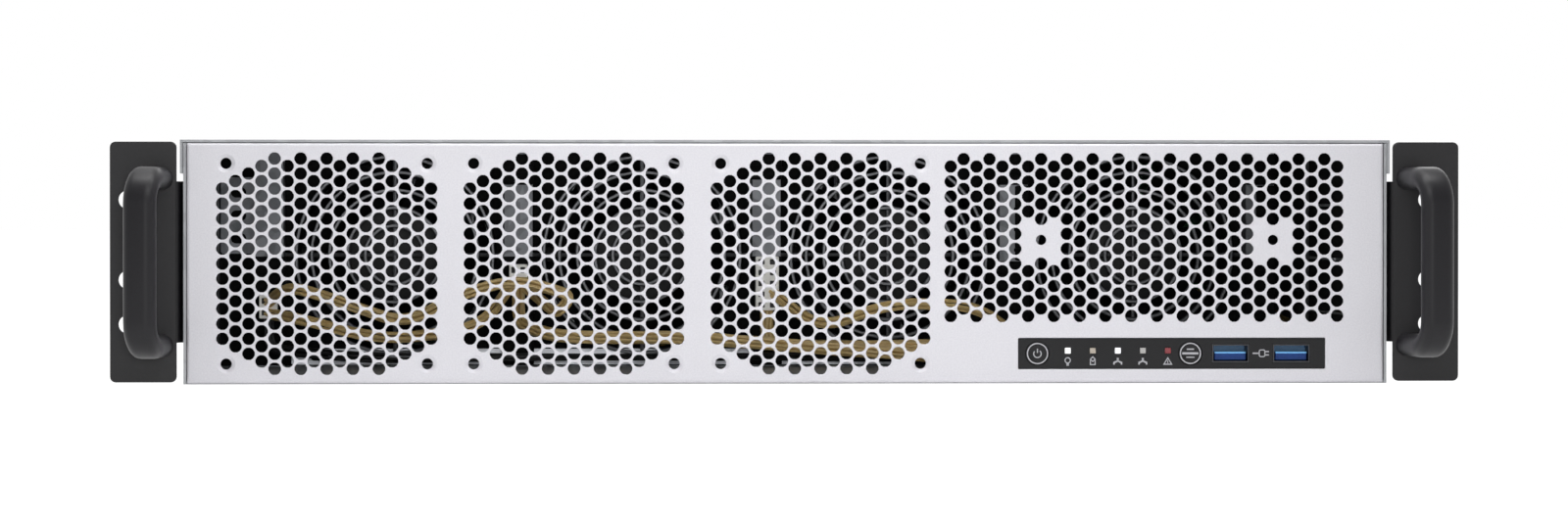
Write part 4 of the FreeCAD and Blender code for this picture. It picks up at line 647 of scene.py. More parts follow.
@dataclass
class FrontPanel:
    """Perforated silver front with its true honeycomb, standing for the coarser CAD sheet.

    Islands are solid places of the wide vent: the column of each, and the rows left out in and beside it.
    """

    pitch: float = 5.35
    hole: float = 4.4
    hole_corner: float = 0.6
    column_step: float = 4.633
    vent_columns: tuple[int, ...] = (11, 12, 13, 14, 15, 14, 15, 14, 15, 14, 15, 14, 15, 14, 13, 12, 11)
    vent_centres: tuple[float, ...] = (-164.3, -76.3, 11.8)
    vent_rise: float = 43.0
    screw_span: float = 71.5
    screw_radius: float = 2.0
    dimple_radius: float = 3.4
    dimple_depth: float = 0.7
    wide_centre: float = 127.9
    wide_rise: float = 52.25
    wide_columns: int = 31
    wide_rows: int = 11
    islands: tuple[int, ...] = (7, 25)
    island_rows: tuple[tuple[int, tuple[int, ...]], ...] = ((-1, (4, 5, 6)), (0, (4, 5)), (1, (4, 5, 6)))
    island_rise: float = 51.4
    island_hole: float = 1.85
    island_burr: float = 0.15
    window_low: Flat = (82.6, 5.1)
    window_high: Flat = (193.1, 16.3)
    window_round: float = 0.4
    window_edge: tuple[Flat, ...] = ((0.25, 0.0), (0.08, 0.08), (0.0, 0.25))
    burr: float = 0.12
    thick: float = 1.2
    fold: float = 1.0
    corner: float = 0.3
    flange: float = 12.0
    flange_short: Spot = (8.0, 1.0, 1.4)

    def hexagon(self, across: float, up: float) -> Rim:
        """Punches one hexagonal hole, whose edge is rolled in a little.

        Args:
            across: Place of the hole's middle across the panel.
            up: Height of its middle.

        Returns:
            Rim of the hole.
        """
        corner = self.hole / math.sqrt(3)
        wide = clipped(regular((across, up), corner + self.burr, 6), self.hole_corner)
        true = clipped(regular((across, up), corner, 6), self.hole_corner)
        return [(wide, 0.0), (true, self.burr), (true, self.thick)]

    def wide_places(self) -> list[float]:
        """Places of the wide vent's columns across the panel."""
        return spaced(self.wide_columns, self.column_step, self.wide_centre)

    def honeycomb(self) -> list[Rim]:
        """Punches the hexagonal holes of the three fan vents and of the wide vent.

        Returns:
            Rim of each hole.
        """
        holes = []
        for centre in self.vent_centres:
            columns = spaced(len(self.vent_columns), self.column_step, centre)
            for across, count in zip(columns, self.vent_columns):
                holes += [self.hexagon(across, up) for up in spaced(count, self.pitch, self.vent_rise)]
        left_out = {(island + shift, row) for island in self.islands for shift, rows in self.island_rows
                    for row in rows}
        for column, across in enumerate(self.wide_places()):
            lift = self.pitch / 4 if column % 2 else -self.pitch / 4
            rises = spaced(self.wide_rows, self.pitch, self.wide_rise + lift)
            holes += [self.hexagon(across, up) for row, up in enumerate(rises)
                      if (column, row) not in left_out]
        return holes

    def round_holes(self) -> list[Rim]:
        """Punches the dimpled screw holes and the two holes in the islands.

        Returns:
            Rim of each hole.
        """
        half, screw = self.screw_span / 2, self.screw_radius
        dimple = ((self.dimple_radius, 0.0), (self.dimple_radius - 0.35, 0.1),
                  (screw + 0.25, self.dimple_depth - 0.1), (screw, self.dimple_depth), (screw, self.thick))
        plain = ((self.island_hole + self.island_burr, 0.0), (self.island_hole, self.island_burr),
                 (self.island_hole, self.thick))
        places = [((centre + x, self.vent_rise + z), dimple, 24)
                  for centre, x, z in product(self.vent_centres, (-half, half), (-half, half))]
        places += [((self.wide_places()[island], self.island_rise), plain, 20) for island in self.islands]
        return [[(regular(place, radius, sides), depth) for radius, depth in steps]
                for place, steps, sides in places]

    def build(self) -> None:
        """Makes the sheet with its folded edges."""
        low, high = box_of("front_panel")
        low_edge, high_edge = (low.x, low.z), (high.x, high.z)
        edge = [(framed(low_edge, high_edge, self.fold * (1 - math.sin(t)), self.corner, 2),
                 self.fold * (1 - math.cos(t))) for t in quarter(4)]
        edge.append((rounded(low_edge, high_edge, self.corner, 2), self.thick))
        window = [(framed(self.window_low, self.window_high, -b, self.window_round + b, 3), depth)
                  for b, depth in (*self.window_edge, (0.0, self.thick))]
        solid = Solid()
        solid.sheet(edge, self.honeycomb() + self.round_holes() + [window], low.y)
        back, (ends, foot, head) = low.y + self.thick, self.flange_short
        solid.block(at(low.x + ends, back, high.z - self.thick),
                    at(high.x - ends, back + self.flange, high.z))
        for side in (low.x, high.x - self.thick):
            solid.block(at(side, back, low.z + foot),
                        at(side + self.thick, back + self.flange, high.z - head))
        solid.build("honeycomb_front", SILVER_COAT, "silver_sheet", stands_for="front_panel")


@dataclass
class RackEars:
    """Black ears with their bow handles and screws."""

    foot: float = 224.7
    reach: float = 33.7
    span: float = 59.7
    width: float = 11.6
    thick: float = 8.0
    rounding: float = 3.6
    bend: float = 9.0
    splay: float = 3.6
    screw: float = 3.2
    screw_heights: Flat = (2.0, 1.2)
    side_screws: tuple[Flat, ...] = ((16, -18), (16, 18), (46, -18), (46, 18))
    sheet: float = 2.0
    corner: float = 2.0
    edge: tuple[Flat, ...] = ((0.35, 0.0), (0.1, 0.1), (0.0, 0.35))
    fold: float = 2.5
    fold_depth: float = 10.0
    neck: float = 57.5
    slot_edge: float = 8.75
    slot_half: Flat = (5.75, 3.2)
    slot_round: float = 3.19
    slot_burr: float = 0.2
    slot_lifts: tuple[float, ...] = (22.225, -6.35, -22.225)

    def plates(self) -> None:
        """Makes the ears with a round fold, which stand for the sharply folded CAD ones."""
        low, high = box_of("rack_ear_right")
        middle, inner = (low.z + high.z) / 2, low.x + self.fold
        rim = [(framed((inner, low.z), (high.x, high.z), c, self.corner - c), depth)
               for c, depth in (*self.edge, (0.0, self.sheet))]
        slots = []
        for lift in self.slot_lifts:
            centre, half = (high.x - self.slot_edge, middle + lift), self.slot_half
            slots.append([(about(centre, (half[0] + c, half[1] + c), self.slot_round + c, 6), depth)
                          for c, depth in ((self.slot_burr, 0.0), (0.0, self.slot_burr), (0.0, self.sheet))])
        tight, deep = self.fold - self.sheet, self.fold_depth - self.sheet
        profile = [(inner - self.fold * math.sin(t), low.y + self.fold_depth * (1 - math.cos(t)))
                   for t in quarter(6)]
        profile += [(low.x, high.y), (low.x + self.sheet, high.y)]
        profile += [(inner - tight * math.sin(t), low.y + self.sheet + deep * (1 - math.cos(t)))
                    for t in reversed(quarter(6))]
        for name, side in SIDES:
            solid = Solid()
            solid.sheet(rim, slots, low.y)
            solid.skin([at(x, y, middle + end * self.neck / 2) for x, y in profile] for end in (-1, 1))
            for point in solid.points:
                point.x *= side
            solid.build(f"ear_plate_{name}", BLACK_PAINT, "black_painted_steel",
                        stands_for=f"rack_ear_{name}")

    def handles(self) -> None:
        """Makes the rounded handles, which stand for the chamfered CAD ones."""
        section = about((0.0, 0.0), (self.width / 2, self.thick / 2), self.rounding, 5)
        low, high = box_of("rack_ear_right")
        middle = (low.z + high.z) / 2
        for name, side in SIDES:
            solid = Solid()
            line = [at(side * (self.foot + self.splay * (out / self.reach) ** 3), low.y - out, middle + along)
                    for out, along in bow_path(self.reach, self.span, self.bend)]
            solid.sweep(line, section, at(1, 0, 0))
            for point in solid.points:
                point.y = min(point.y, low.y)
            solid.build(f"bow_handle_{name}", BLACK_ANODISED, "black_handle", stands_for=f"handle_{name}")

    def screws(self) -> None:
        """Adds the screws of the handles behind the ears, and of the ears on the case's sides."""
        solid = Solid()
        low, high = box_of("rack_ear_right")
        middle = (low.z + high.z) / 2
        wall = high_of("chassis_tray").x + self.sheet
        behind, beside = (screw_profile(self.screw, height) for height in self.screw_heights)
        for _, side in SIDES:
            for along in (-self.span / 2, self.span / 2):
                solid.turned(at(side * self.foot, low.y + self.sheet, middle + along), at(0, 1, 0), behind)
            for setback, lift in self.side_screws:
                solid.turned(at(side * wall, low.y + setback, middle + lift), at(side, 0, 0), beside)
        solid.build("ear_screws", BLACK_ZINC, "screw_steel")

    def build(self) -> None:
        """Makes the ears and what they carry."""
        self.plates()
        self.handles()
        self.screws()


class Sign(Enum):
    """General signs as strokes: points about the sign's middle, whether they close, and the line's width."""

    RING = ((regular((0.0, 0.0), 3.62, 40), True, 0.42),)
    POWER = (([(1.35 * math.sin(math.radians(a)), -0.1 + 1.35 * math.cos(math.radians(a)))
               for a in range(40, 325, 15)], False, SIGN_LINE), (((0.0, 0.2), (0.0, 1.75)), False, SIGN_LINE))
    RESET = ((((-2.9, 0.0), (2.9, 0.0)), False, 0.75), (((-1.3, 1.5), (1.3, 1.5)), False, 0.5),
             (((-1.5, -1.4), (1.5, -1.4)), False, 0.4))
    BULB = ((regular((0.0, 0.35), 0.95, 16), True, SIGN_LINE),
            (((-0.45, -0.95), (0.45, -0.95)), False, SIGN_LINE),
            (((-0.45, -1.4), (0.45, -1.4)), False, SIGN_LINE))
    DISK = ((regular((0.0, 0.75), 0.85, 4), True, SIGN_LINE),
            (((-0.85, 0.75), (-0.85, -1.2), (0.85, -1.2), (0.85, 0.75)), False, SIGN_LINE))
    BRANCH = ((((0.0, 1.2), (0.0, 0.1)), False, 0.7),
              (((-1.35, -1.2), (-1.35, -0.5), (0.0, 0.1), (1.35, -0.5), (1.35, -1.2)), False, 0.55))
    WARNING = ((((-1.4, -1.1), (1.4, -1.1), (0.0, 1.2)), True, SIGN_LINE),
               (((0.0, 0.3), (0.0, -0.7)), False, 0.3))
    PLUG = ((((-3.0, 0.0), (-0.6, 0.0)), False, 0.5), (about((0.4, 0.0), (1.0, 1.2), 0.5), True, SIGN_LINE),
            (((1.4, -0.6), (2.9, -0.6)), False, 0.45), (((1.4, 0.6), (2.9, 0.6)), False, 0.45))


@dataclass
class ControlStrip:
    """Black strip with two buttons, five lights with signs, and two sockets."""

    rise: float = 10.7
    button_radius: float = 4.05
    button_collar: float = 2.35
    collar_width: float = 0.9
    dish: float = 0.12
    power: float = 89.55
    reset: float = 144.55
    light_first: float = 100.45
    light_step: float = 9.0
    light_rise: float = 11.7
    light: Span = ((-1.05, -0.3, -1.05), (1.05, 0.05, 1.05))
    light_signs: tuple[Sign, ...] = (Sign.BULB, Sign.DISK, Sign.BRANCH, Sign.BRANCH, Sign.WARNING)
    sign_rise: float = 7.9
    sockets: tuple[float, ...] = (159.05, 180.95)
    tongue: Span = ((-5.7, 1.3, -2.5), (5.7, 9.1, 0.3))
    tongue_highlight: Span = ((-5.6, 1.1, -0.1), (5.6, 1.8, 0.55))
    back_wall: Spot = (6.15, 9.0, 2.75)
    contact: Span = ((-0.5, 1.9, 0.28), (0.5, 8.5, 0.42))
    contact_step: float = 1.9
    ink: float = 0.04

    def print_sign(self, solid: Solid, sign: Sign, face: float, across: float, up: float) -> None:
        """Prints one sign on a face that looks forward.

        Args:
            solid: Mesh that takes the ink.
            sign: The sign.
            face: Place of the face along Y.
            across: Place of the sign's middle across the panel.
            up: Height of the sign's middle.
        """
        for points, closed, line in sign.value:
            half = line / 2
            section = ((-self.ink, -half), (0.0, -half), (0.0, half), (-self.ink, half))
            solid.sweep([at(across + a, face, up + b) for a, b in points], section, at(0, 1, 0), closed)

    def button(self, node: str, across: float) -> float:
        """Makes a turned button in place of a CAD one.

        Args:
            node: CAD node of the button.
            across: Place of its middle across the panel.

        Returns:
            Place of its face along Y.
        """
        low, high = box_of(node)
        radius, collar, shaft = self.button_radius, self.button_collar, 2.0
        wide = radius + self.collar_width
        solid = Solid()
        solid.turned(at(across, low.y, self.rise), at(0, 1, 0), (
            (3.2, self.dish), (3.45, 0.0), (3.8, 0.0), (3.98, 0.08), (radius, 0.28), (radius, collar),
            (wide, collar), (wide, collar + 1), (shaft, collar + 1), (shaft, high.y - low.y)), 40)
        solid.build(f"{node}_cap", BLACK_ABS, "black_plastic", node, node)
        return low.y

    def buttons(self) -> None:
        """Makes both buttons with their rings and signs."""
        for name, across, sign in (("power", self.power, Sign.POWER), ("reset", self.reset, Sign.RESET)):
            face = self.button(f"{name}_button", across)
            solid = Solid()
            self.print_sign(solid, Sign.RING, face, across, self.rise)
            self.print_sign(solid, sign, face + self.dish, across, self.rise)
            solid.build(f"{name}_sign", GREY_INK, "white_plastic", f"{name}_button")

    def lights(self) -> None:
        """Makes the five lights' square faces and prints the signs below them and between the sockets."""
        face, strip = low_of("status_lenses").y, low_of("control_bezel").y
        signs = Solid()
        for i, (finish, sign) in enumerate(zip(LENS_FINISHES, self.light_signs)):
            across = self.light_first + i * self.light_step
            solid = Solid()
            solid.box((across, face, self.light_rise), self.light)
            solid.build(f"light_{i + 1}", finish, "clear_lens")
            self.print_sign(signs, sign, strip, across, self.sign_rise)
        self.print_sign(signs, Sign.PLUG, strip, sum(self.sockets) / 2, self.rise)
        signs.build("strip_signs", GREY_INK, "white_plastic")

    def socket_insides(self) -> None:
        """Makes the sockets' blue tongues with a painted highlight along their edge, lighter painted back
        walls, and gold contacts.
        """
        face, back = low_of("usb_shells").y, high_of("usb_tongues").y
        half, depth, lift = self.back_wall
        wall = ((-half, depth, -lift), (half, back - face, lift))
        once, five = [0.0], spaced(5, self.contact_step)
        for name, finish, slot, stands_for, shifts, span, soft in (
                ("tongues", BLUE_NYLON, "blue_plastic", "usb_tongues", once, self.tongue, 0.25),
                # The back walls' lighter blue and the edge strips are painted light.
                ("back_walls", BLUE_NYLON_LIT_WALL, "blue_plastic", "", once, wall, 0.1),
                ("tongue_highlights", BLUE_NYLON_HIGHLIGHT, "blue_plastic", "", once, self.tongue_highlight, 0.12),
                ("contacts", GOLD_PLATE, "brass", "", five, self.contact, 0.05)):
            solid = Solid()
            for socket, shift in product(self.sockets, shifts):
                solid.box((socket + shift, face, self.rise), span, soft)
            solid.build(f"socket_{name}", finish, slot, stands_for=stands_for)

    def build(self) -> None:
        """Dresses the strip and adds its pieces."""
        dress(BLACK_ABS, ("control_bezel",), 0.12)
        dress(SOCKET_PLASTIC, ("push_switches",), 0.2)
        dress(SOLDER_MASK, ("control_board",), 0)
        dress(LENS_FINISHES[3], ("status_lenses",), 0)
        dress(BLACK_NICKEL, ("usb_shells",), 0.1)
        self.buttons()
        self.lights()
        self.socket_insides()


@dataclass(frozen=True)
class Run:
    """Route of one bundle of wires.

    Its corners are given across, along and up. Along counts forward from the power cage's backplane, then
    forward from the fan wall, and at last backward from the mainboard's front edge.
    """

    count: int
    spread: float
    from_cage: tuple[Spot, ...] = ()
    along_wall: tuple[Spot, ...] = ()
    over_board: tuple[Spot, ...] = ()

    def corners(self) -> list[Vector]:
        """Works the route out in the server's frame.

        Returns:
            Corners of the route.
        """
        cage, wall = low_of("psu_backplane").y, low_of("fan_wall").y
        board = low_of("motherboard").y
        return ([at(x, cage - out, z) for x, out, z in self.from_cage]
                + [at(x, wall - out, z) for x, out, z in self.along_wall]
                + [at(x, board + out, z) for x, out, z in self.over_board])


@dataclass
class FanBay:
    """Fan wall seen through the front: wire guards, hubs, lead connectors and wires.

    Connectors have a post, width, foot and height; sleeves, which are painted shade on the posts, have a
    post, left edge, foot and top.
    """

    pitch: float = 97.0
    rise: float = 44.5
    guard_radii: tuple[float, ...] = (11.5, 18.5, 25.5, 32.5, 38.6)
    wire: float = 0.8
    arm: float = 42.9
    stem: float = 39.4
    hub: float = 19.05
    strand: float = 0.72
    bend: float = 18.0
    twist: float = 45.0
    connectors: tuple[tuple[int, float, float, float], ...] = (
        (0, 9.0, 23.0, 21.0), (-1, 7.0, 32.0, 9.0), (-2, 7.0, 20.0, 9.0))
    cell_height: float = 4.2
    cell_half: Flat = (0.28, 0.26)
    shell_depth: float = 3.0
    shell_burr: float = 0.2
    shade_sleeves_on: tuple[tuple[int, float, float, float], ...] = (
        (-2, -6.1, 1.5, 44.0), (-1, -6.1, 1.5, 44.0), (-1, -6.1, 72.0, 84.0), (0, -6.1, 1.5, 44.0),
        (0, -6.1, 74.0, 84.0), (1, -6.1, 1.5, 42.0), (1, -6.1, 72.0, 84.0), (1, 0.5, 42.2, 71.8),
        (2, -6.1, 1.5, 44.0), (2, -1.5, 44.2, 71.8), (2, -6.1, 72.0, 84.0))
    shade_sleeve_right: float = 6.1
    shade_sleeve_depths: Flat = (0.6, 0.5)
    rib_step: float = 8.0
    rib_first: float = 3.5
    rib_height: float = 1.6
    rib_depth: float = 1.0
    rib_proud: float = 0.4
    sheet: float = 1.0
    plate_gaps: Flat = (0.4, 0.2)
    plate_heights: Flat = (45.0, 75.0)
    plate_slots: tuple[float, ...] = (51.0, 60.0, 69.0)
    plate_slot_half: Flat = (3.0, 2.0)
    rail_ends: Flat = (-186.0, 58.2)
    rail_heights: Flat = (1.4, 7.6)
    rail_slot_rise: float = 4.2
    rail_slot_half: Flat = (3.5, 1.2)
    rail_slot_step: float = 22.0
    shade_strips: int = 4
    shade_strip_foot: float = 3.0
    shade_strip_step: float = 20.5
    shade_strip_height: float = 19.5
    shade_strip_thick: float = 1.2
    shade_strip_ends: Flat = (15.0, 16.0)
    yellow_runs: tuple[Run, ...] = (
        Run(7, 1.9, ((168.5, 0, 30), (168.5, 14, 30), (208, 60, 22)),
            ((208, 30, 15), (90, 42, 10), (0, 18.5, 9), (0, 18.5, 23))),
        Run(7, 1.9, ((178.5, 0, 20), (178.5, 14, 20), (208, 54, 14)),
            ((208, 26, 8), (70, 34, 5), (16, 38, 9), (-30, 42, 13), (-82, 44, 13), (-97, 18.5, 18),
             (-97, 18.5, 32))))
    black_runs: tuple[Run, ...] = (
        Run(5, 1.5, ((160.5, 0, 14), (160.5, 14, 14), (208, 48, 7)),
            ((208, 22, 8), (60, 26, 5), (-160, 32, 5), (-194, 18.5, 8), (-194, 18.5, 20))),
        Run(8, 2.1, ((148.5, 0, 52), (148.5, 14, 52)), over_board=((106.45, 46, 44), (106.45, 46, 21))))
    link_runs: tuple[Run, ...] = (
        Run(5, 1.6, along_wall=((-95, 21.5, 33), (-82, 46, 22), (-76, 50, 29), (-98, 52, 36), (-121, 50, 29),
                                (-140, 46, 18), (-165, 46, 27), (-186, 40, 33), (-194, 21.5, 26))),
        Run(5, 1.6, along_wall=((-99, 21.5, 34), (-112, 42, 16), (-150, 38, 12), (-182, 36, 20),
                                (-194, 21.5, 22))),
        Run(5, 1.6, along_wall=((2, 21.5, 30), (20, 42, 16), (46, 46, 26), (80, 44, 25.5), (98, 30, 12))))

    def sleeves(self) -> None:
        """Clips ribbed black sleeves over the posts as painted shade on their lower and upper parts, whose
        middles stay partly bare.
        """
        low, high = box_of("fan_posts")
        solid = Solid()
        for post, start, foot, top in self.shade_sleeves_on:
            left, right = post * self.pitch + start, post * self.pitch + self.shade_sleeve_right
            solid.block(at(left, low.y - self.shade_sleeve_depths[0], foot),
                        at(right, high.y - self.shade_sleeve_depths[1], top), 0.5)
            for k in range(int((top - foot) / self.rib_step)):
                rib = foot + self.rib_first + k * self.rib_step
                solid.block(at(left - self.rib_proud, low.y - self.rib_depth, rib),
                            at(right + self.rib_proud, high.y - self.rib_depth, rib + self.rib_height), 0.4)
        solid.build("post_shade_sleeves", MATT_BLACK_AND_SHADE, "black_plastic")

    def end_plate(self) -> None:
        """Fixes a slotted plate to the wall's left end, between its last post and the case's side."""
        wall = low_of("fan_wall")
        near, far = wall.x + self.plate_gaps[0], low_of("fan_posts").x - self.plate_gaps[1]
        rim = rounded((near, self.plate_heights[0]), (far, self.plate_heights[1]), 1.0)
        slots = [about(((near + far) / 2, rise), self.plate_slot_half, 1.9) for rise in self.plate_slots]
        solid = Solid()
        solid.sheet(straight(rim, self.sheet), [straight(slot, self.sheet) for slot in slots],
                    wall.y - self.sheet)
        # The plate's darker zinc is painted shade.
        solid.build("wall_end_plate", SHADED_ZINC, "galvanised_sheet")

    def foot_rail(self) -> None:
        """Runs a slotted rail along the foot of the wall, below the three left grilles."""
        left, right = self.rail_ends
        rim = rounded((left, self.rail_heights[0]), (right, self.rail_heights[1]), 0.6)
        count = round((right - left) / self.rail_slot_step)
        places = [left + (k + 0.5) * (right - left) / count for k in range(count)]
        slots = [about((x, self.rail_slot_rise), self.rail_slot_half, 1.1) for x in places]
        solid = Solid()
        solid.sheet(straight(rim, self.sheet), [straight(slot, self.sheet) for slot in slots],
                    low_of("fan_wall").y - self.sheet)
        solid.build("wall_foot_rail", ZINC_PLATE, "galvanised_sheet")

    def liner(self) -> None:
        """Lines the case's right side in front of the fans with matt black strips, which are painted shade on
        that wall.
        """
        front, back = low_of("chassis_tray").y + self.shade_strip_ends[0], low_of("fan_wall").y - self.shade_strip_ends[1]
        side = high_of("chassis_tray").x - self.sheet
        solid = Solid()
        for foot in (self.shade_strip_foot + self.shade_strip_step * k for k in range(self.shade_strips)):
            solid.block(at(side - self.shade_strip_thick, front, foot),
                        at(side, back, foot + self.shade_strip_height), 0.4)
        solid.build("side_shade_strips", MATT_BLACK_AND_SHADE, "black_plastic")

    def guards(self) -> None:
        """Makes the round wire guards in place of the flat CAD ones."""
        solid = Solid()
        wall = low_of("fan_wall").y
        section = regular((0.0, 0.0), self.wire, 8)
        for x in spaced(4, self.pitch):
            for radius in self.guard_radii:
                solid.ring(at(x, wall - 3 * self.wire, self.rise), at(0, 1, 0), radius, self.wire)
            near = wall - self.wire
            solid.sweep([at(x + end * self.arm, near, self.rise) for end in (-1, 1)], section, at(0, 0, 1))
            solid.sweep([at(x, near, self.rise + end * self.stem) for end in (-1, 1)], section, at(1, 0, 0))
        solid.build("wire_guards", DARK_WIRE, "screw_steel", stands_for="finger_guards")

    def hubs(self) -> None:
        """Puts a cap with a round edge on each fan wheel."""
        profile = ((self.hub, -8.0), (self.hub, 0.1), (18.6, 0.6), (17.6, 0.8), (0.5, 0.8))
        for i, x in enumerate(spaced(4, self.pitch), 1):
            cap = Solid()
            cap.turned(at(x, low_of(f"fan_rotor_{i}").y, self.rise), at(0, -1, 0), profile, 40)
            cap.build(f"fan_hub_{i}", FAN_PLASTIC, "black_plastic", f"fan_{i}")

    def housings(self) -> None:
        """Makes the white lead connectors with their open cells, and a black block behind them that is
        painted shade in the cells.
        """
        near, far = box_of("lead_connectors")
        back = near.y + self.shell_depth
        shell, cells = Solid(), Solid()
        for post, width, foot, height in self.connectors:
            middle, across = post * self.pitch, width / 2
            rows = round(height / self.cell_height)
            step = height / rows
            half = (self.cell_half[0] * across, self.cell_half[1] * step)
            holes = [straight(about((middle + side * across, foot + (k + 0.5) * step), half, 0.2, 1),
                              self.shell_depth) for k, side in product(range(rows), (-0.5, 0.5))]
            rim = [(framed((middle - across, foot), (middle + across, foot + height), c, 0.4, 2), depth)
                   for c, depth in ((self.shell_burr, 0.0), (0.0, self.shell_burr), (0.0, self.shell_depth))]
            shell.sheet(rim, holes, near.y)
            cells.block(at(middle - across, back, foot), at(middle + across, far.y, foot + height))
        # The connectors' faint glow is painted light.
        shell.build("connector_shells", WHITE_NYLON_GLOW, "white_plastic", stands_for="lead_connectors")
        # The black block behind the cells is painted shade in their depths.
        cells.build("connector_cell_shade", SOCKET_PLASTIC, "black_plastic")

    def strands(self, solid: Solid, run: Run) -> None:
        """Lays a loosely twisted bundle of wires along its route.

        Args:
            solid: Mesh that takes the wires.
            run: Route, number of wires, and radius of the circle that they lie on.
        """
        path = eased(run.corners(), self.bend)
        side = (path[1] - path[0]).orthogonal().normalized()
        for start in turns(run.count):
            line, length, first = [], 0.0, side
            for i, point in enumerate(path):
                before = path[max(i - 1, 0)]
                ahead = (path[min(i + 1, len(path) - 1)] - before).normalized()
                first = (first - ahead * first.dot(ahead)).normalized()
                length += (point - before).length
                turn = start + length / self.twist
                out = first * math.cos(turn) + ahead.cross(first) * math.sin(turn)
                line.append(point + out * run.spread)
            solid.sweep(line, regular((0.0, 0.0), self.strand, 6), side)

    def wires(self) -> None:
        """Lays the wires from the power modules to the posts and to the mainboard, and between the posts."""
        for name, finish, slot, stands_for, runs in (
                ("yellow_wires", YELLOW_PVC, "yellow_wire", "yellow_leads", self.yellow_runs),
                ("black_wires", BLACK_PVC, "black_wire", "black_leads", self.black_runs),
                ("link_wires", YELLOW_PVC, "yellow_wire", "", self.link_runs)):
            solid = Solid()
            for run in runs:
                self.strands(solid, run)
            solid.build(name, finish, slot, stands_for=stands_for)

    def build(self) -> None:
        """Dresses the fans and adds what stands in front of them."""
        dress(MATT_BLACK_AND_SHADE, ("fan_wall",), 0.2)
        # The posts' darker zinc is painted shade.
        dress(SHADED_ZINC, ("fan_posts",), 0.3)
        dress(FAN_PLASTIC, [f"fan_{kind}_{i}" for kind in ("frame", "rotor") for i in range(1, 5)], 0.3)
        self.guards()
        self.hubs()
        self.sleeves()
        self.end_plate()
        self.foot_rail()
        self.liner()
        self.housings()
        self.wires()


@dataclass
class Mainboard:
    """Board with its coolers, memory and small parts.

    Chips have a place across and along the board, counted from its front left corner, and a size.
    """

    can_radius: float = 4.0
    can_height: float = 11.0
    cans_in_row: int = 6
    can_gap: float = 9.0
    can_margin: float = 10.0
    choke_first: Flat = (40.0, 14.0)
    choke_step: float = 30.0
    choke_size: Flat = (10.0, 1.2)
    chips_at: tuple[Spot, ...] = ((150, 200, 22), (60, 215, 14), (95, 222, 9), (262, 170, 16), (262, 205, 12))
    chip_height: float = 1.4
    per_row: int = 8
    memory_chip: Span = ((0.0, 0.0, -18.0), (1.0, 9.0, -6.0))
    memory_first: float = 8.0
    memory_margin: float = 24.0

    def cans(self) -> None:
        """Adds capacitors in rows before and behind the coolers."""
        cans, feet = Solid(), Solid()
        top = high_of("motherboard").z
        wide, tall = self.can_radius, self.can_height
        can = ((3.4, 0.0), (wide, 0.8), (wide, tall - 0.5), (3.5, tall), (3.1, tall - 0.2), (0.3, tall - 0.2))
        foot = ((wide + 0.1, 0.0), (wide + 0.1, 1.4), (wide, 1.5))
        for name, _ in SIDES:
            low, high = box_of(f"cpu_cooler_{name}")
            for k in range(self.cans_in_row):
                x = (low.x + self.can_margin
                     + k * (high.x - low.x - 2 * self.can_margin) / (self.cans_in_row - 1))
                for y in (low.y - self.can_gap, high.y + self.can_gap):
                    cans.turned(at(x, y, top), at(0, 0, 1), can, 20)
                    feet.turned(at(x, y, top), at(0, 0, 1), foot, 20)
        cans.build("board_capacitors", ALUMINIUM, "cooler_aluminium")
        feet.build("board_capacitor_feet", SOCKET_PLASTIC, "black_plastic")

    def chips(self) -> None:
        """Adds chokes, chips and memory chips."""
        chips = Solid()
        board, top = low_of("motherboard"), high_of("motherboard").z
        size, height = self.choke_size
        flat = [(self.choke_first[0] + k * self.choke_step, self.choke_first[1], size, height)
                for k in range(self.per_row)]
        flat += [(x, y, side, self.chip_height) for x, y, side in self.chips_at]
        for x, y, side, height in flat:
            chips.box((board.x + x, board.y + y, top), ((0.0, 0.0, 0.0), (side, side, height)), 0.15)
        low, high = box_of("memory_modules")
        step = (high.y - low.y - self.memory_margin) / (self.per_row - 1)
        for x, k in product(self.module_faces(), range(self.per_row)):
            chips.box((x, low.y + self.memory_first + k * step, high.z), self.memory_chip, 0.1)
        chips.build("board_chips", CHIP_EPOXY, "black_plastic")

    def module_faces(self) -> list[float]:
        """Right faces of the memory modules across the board."""
        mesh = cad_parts["memory_modules"].data
        return sorted({round(vertex.co.x / MM, 2) for vertex in mesh.vertices})[1::2]

    def build(self) -> None:
        """Dresses the board and adds its small parts."""
        dress(SOLDER_MASK, ("motherboard", "memory_modules"), 0)
        dress(BRASS, ("board_standoffs",), 0)
        dress(SOCKET_PLASTIC, ("memory_slots", "expansion_slots", "board_power_sockets", "cpu_sockets"), 0.3)
        dress(ALUMINIUM, ("cpu_cooler_left", "cpu_cooler_right", "chipset_cooler"), 0)
        self.cans()
        self.chips()


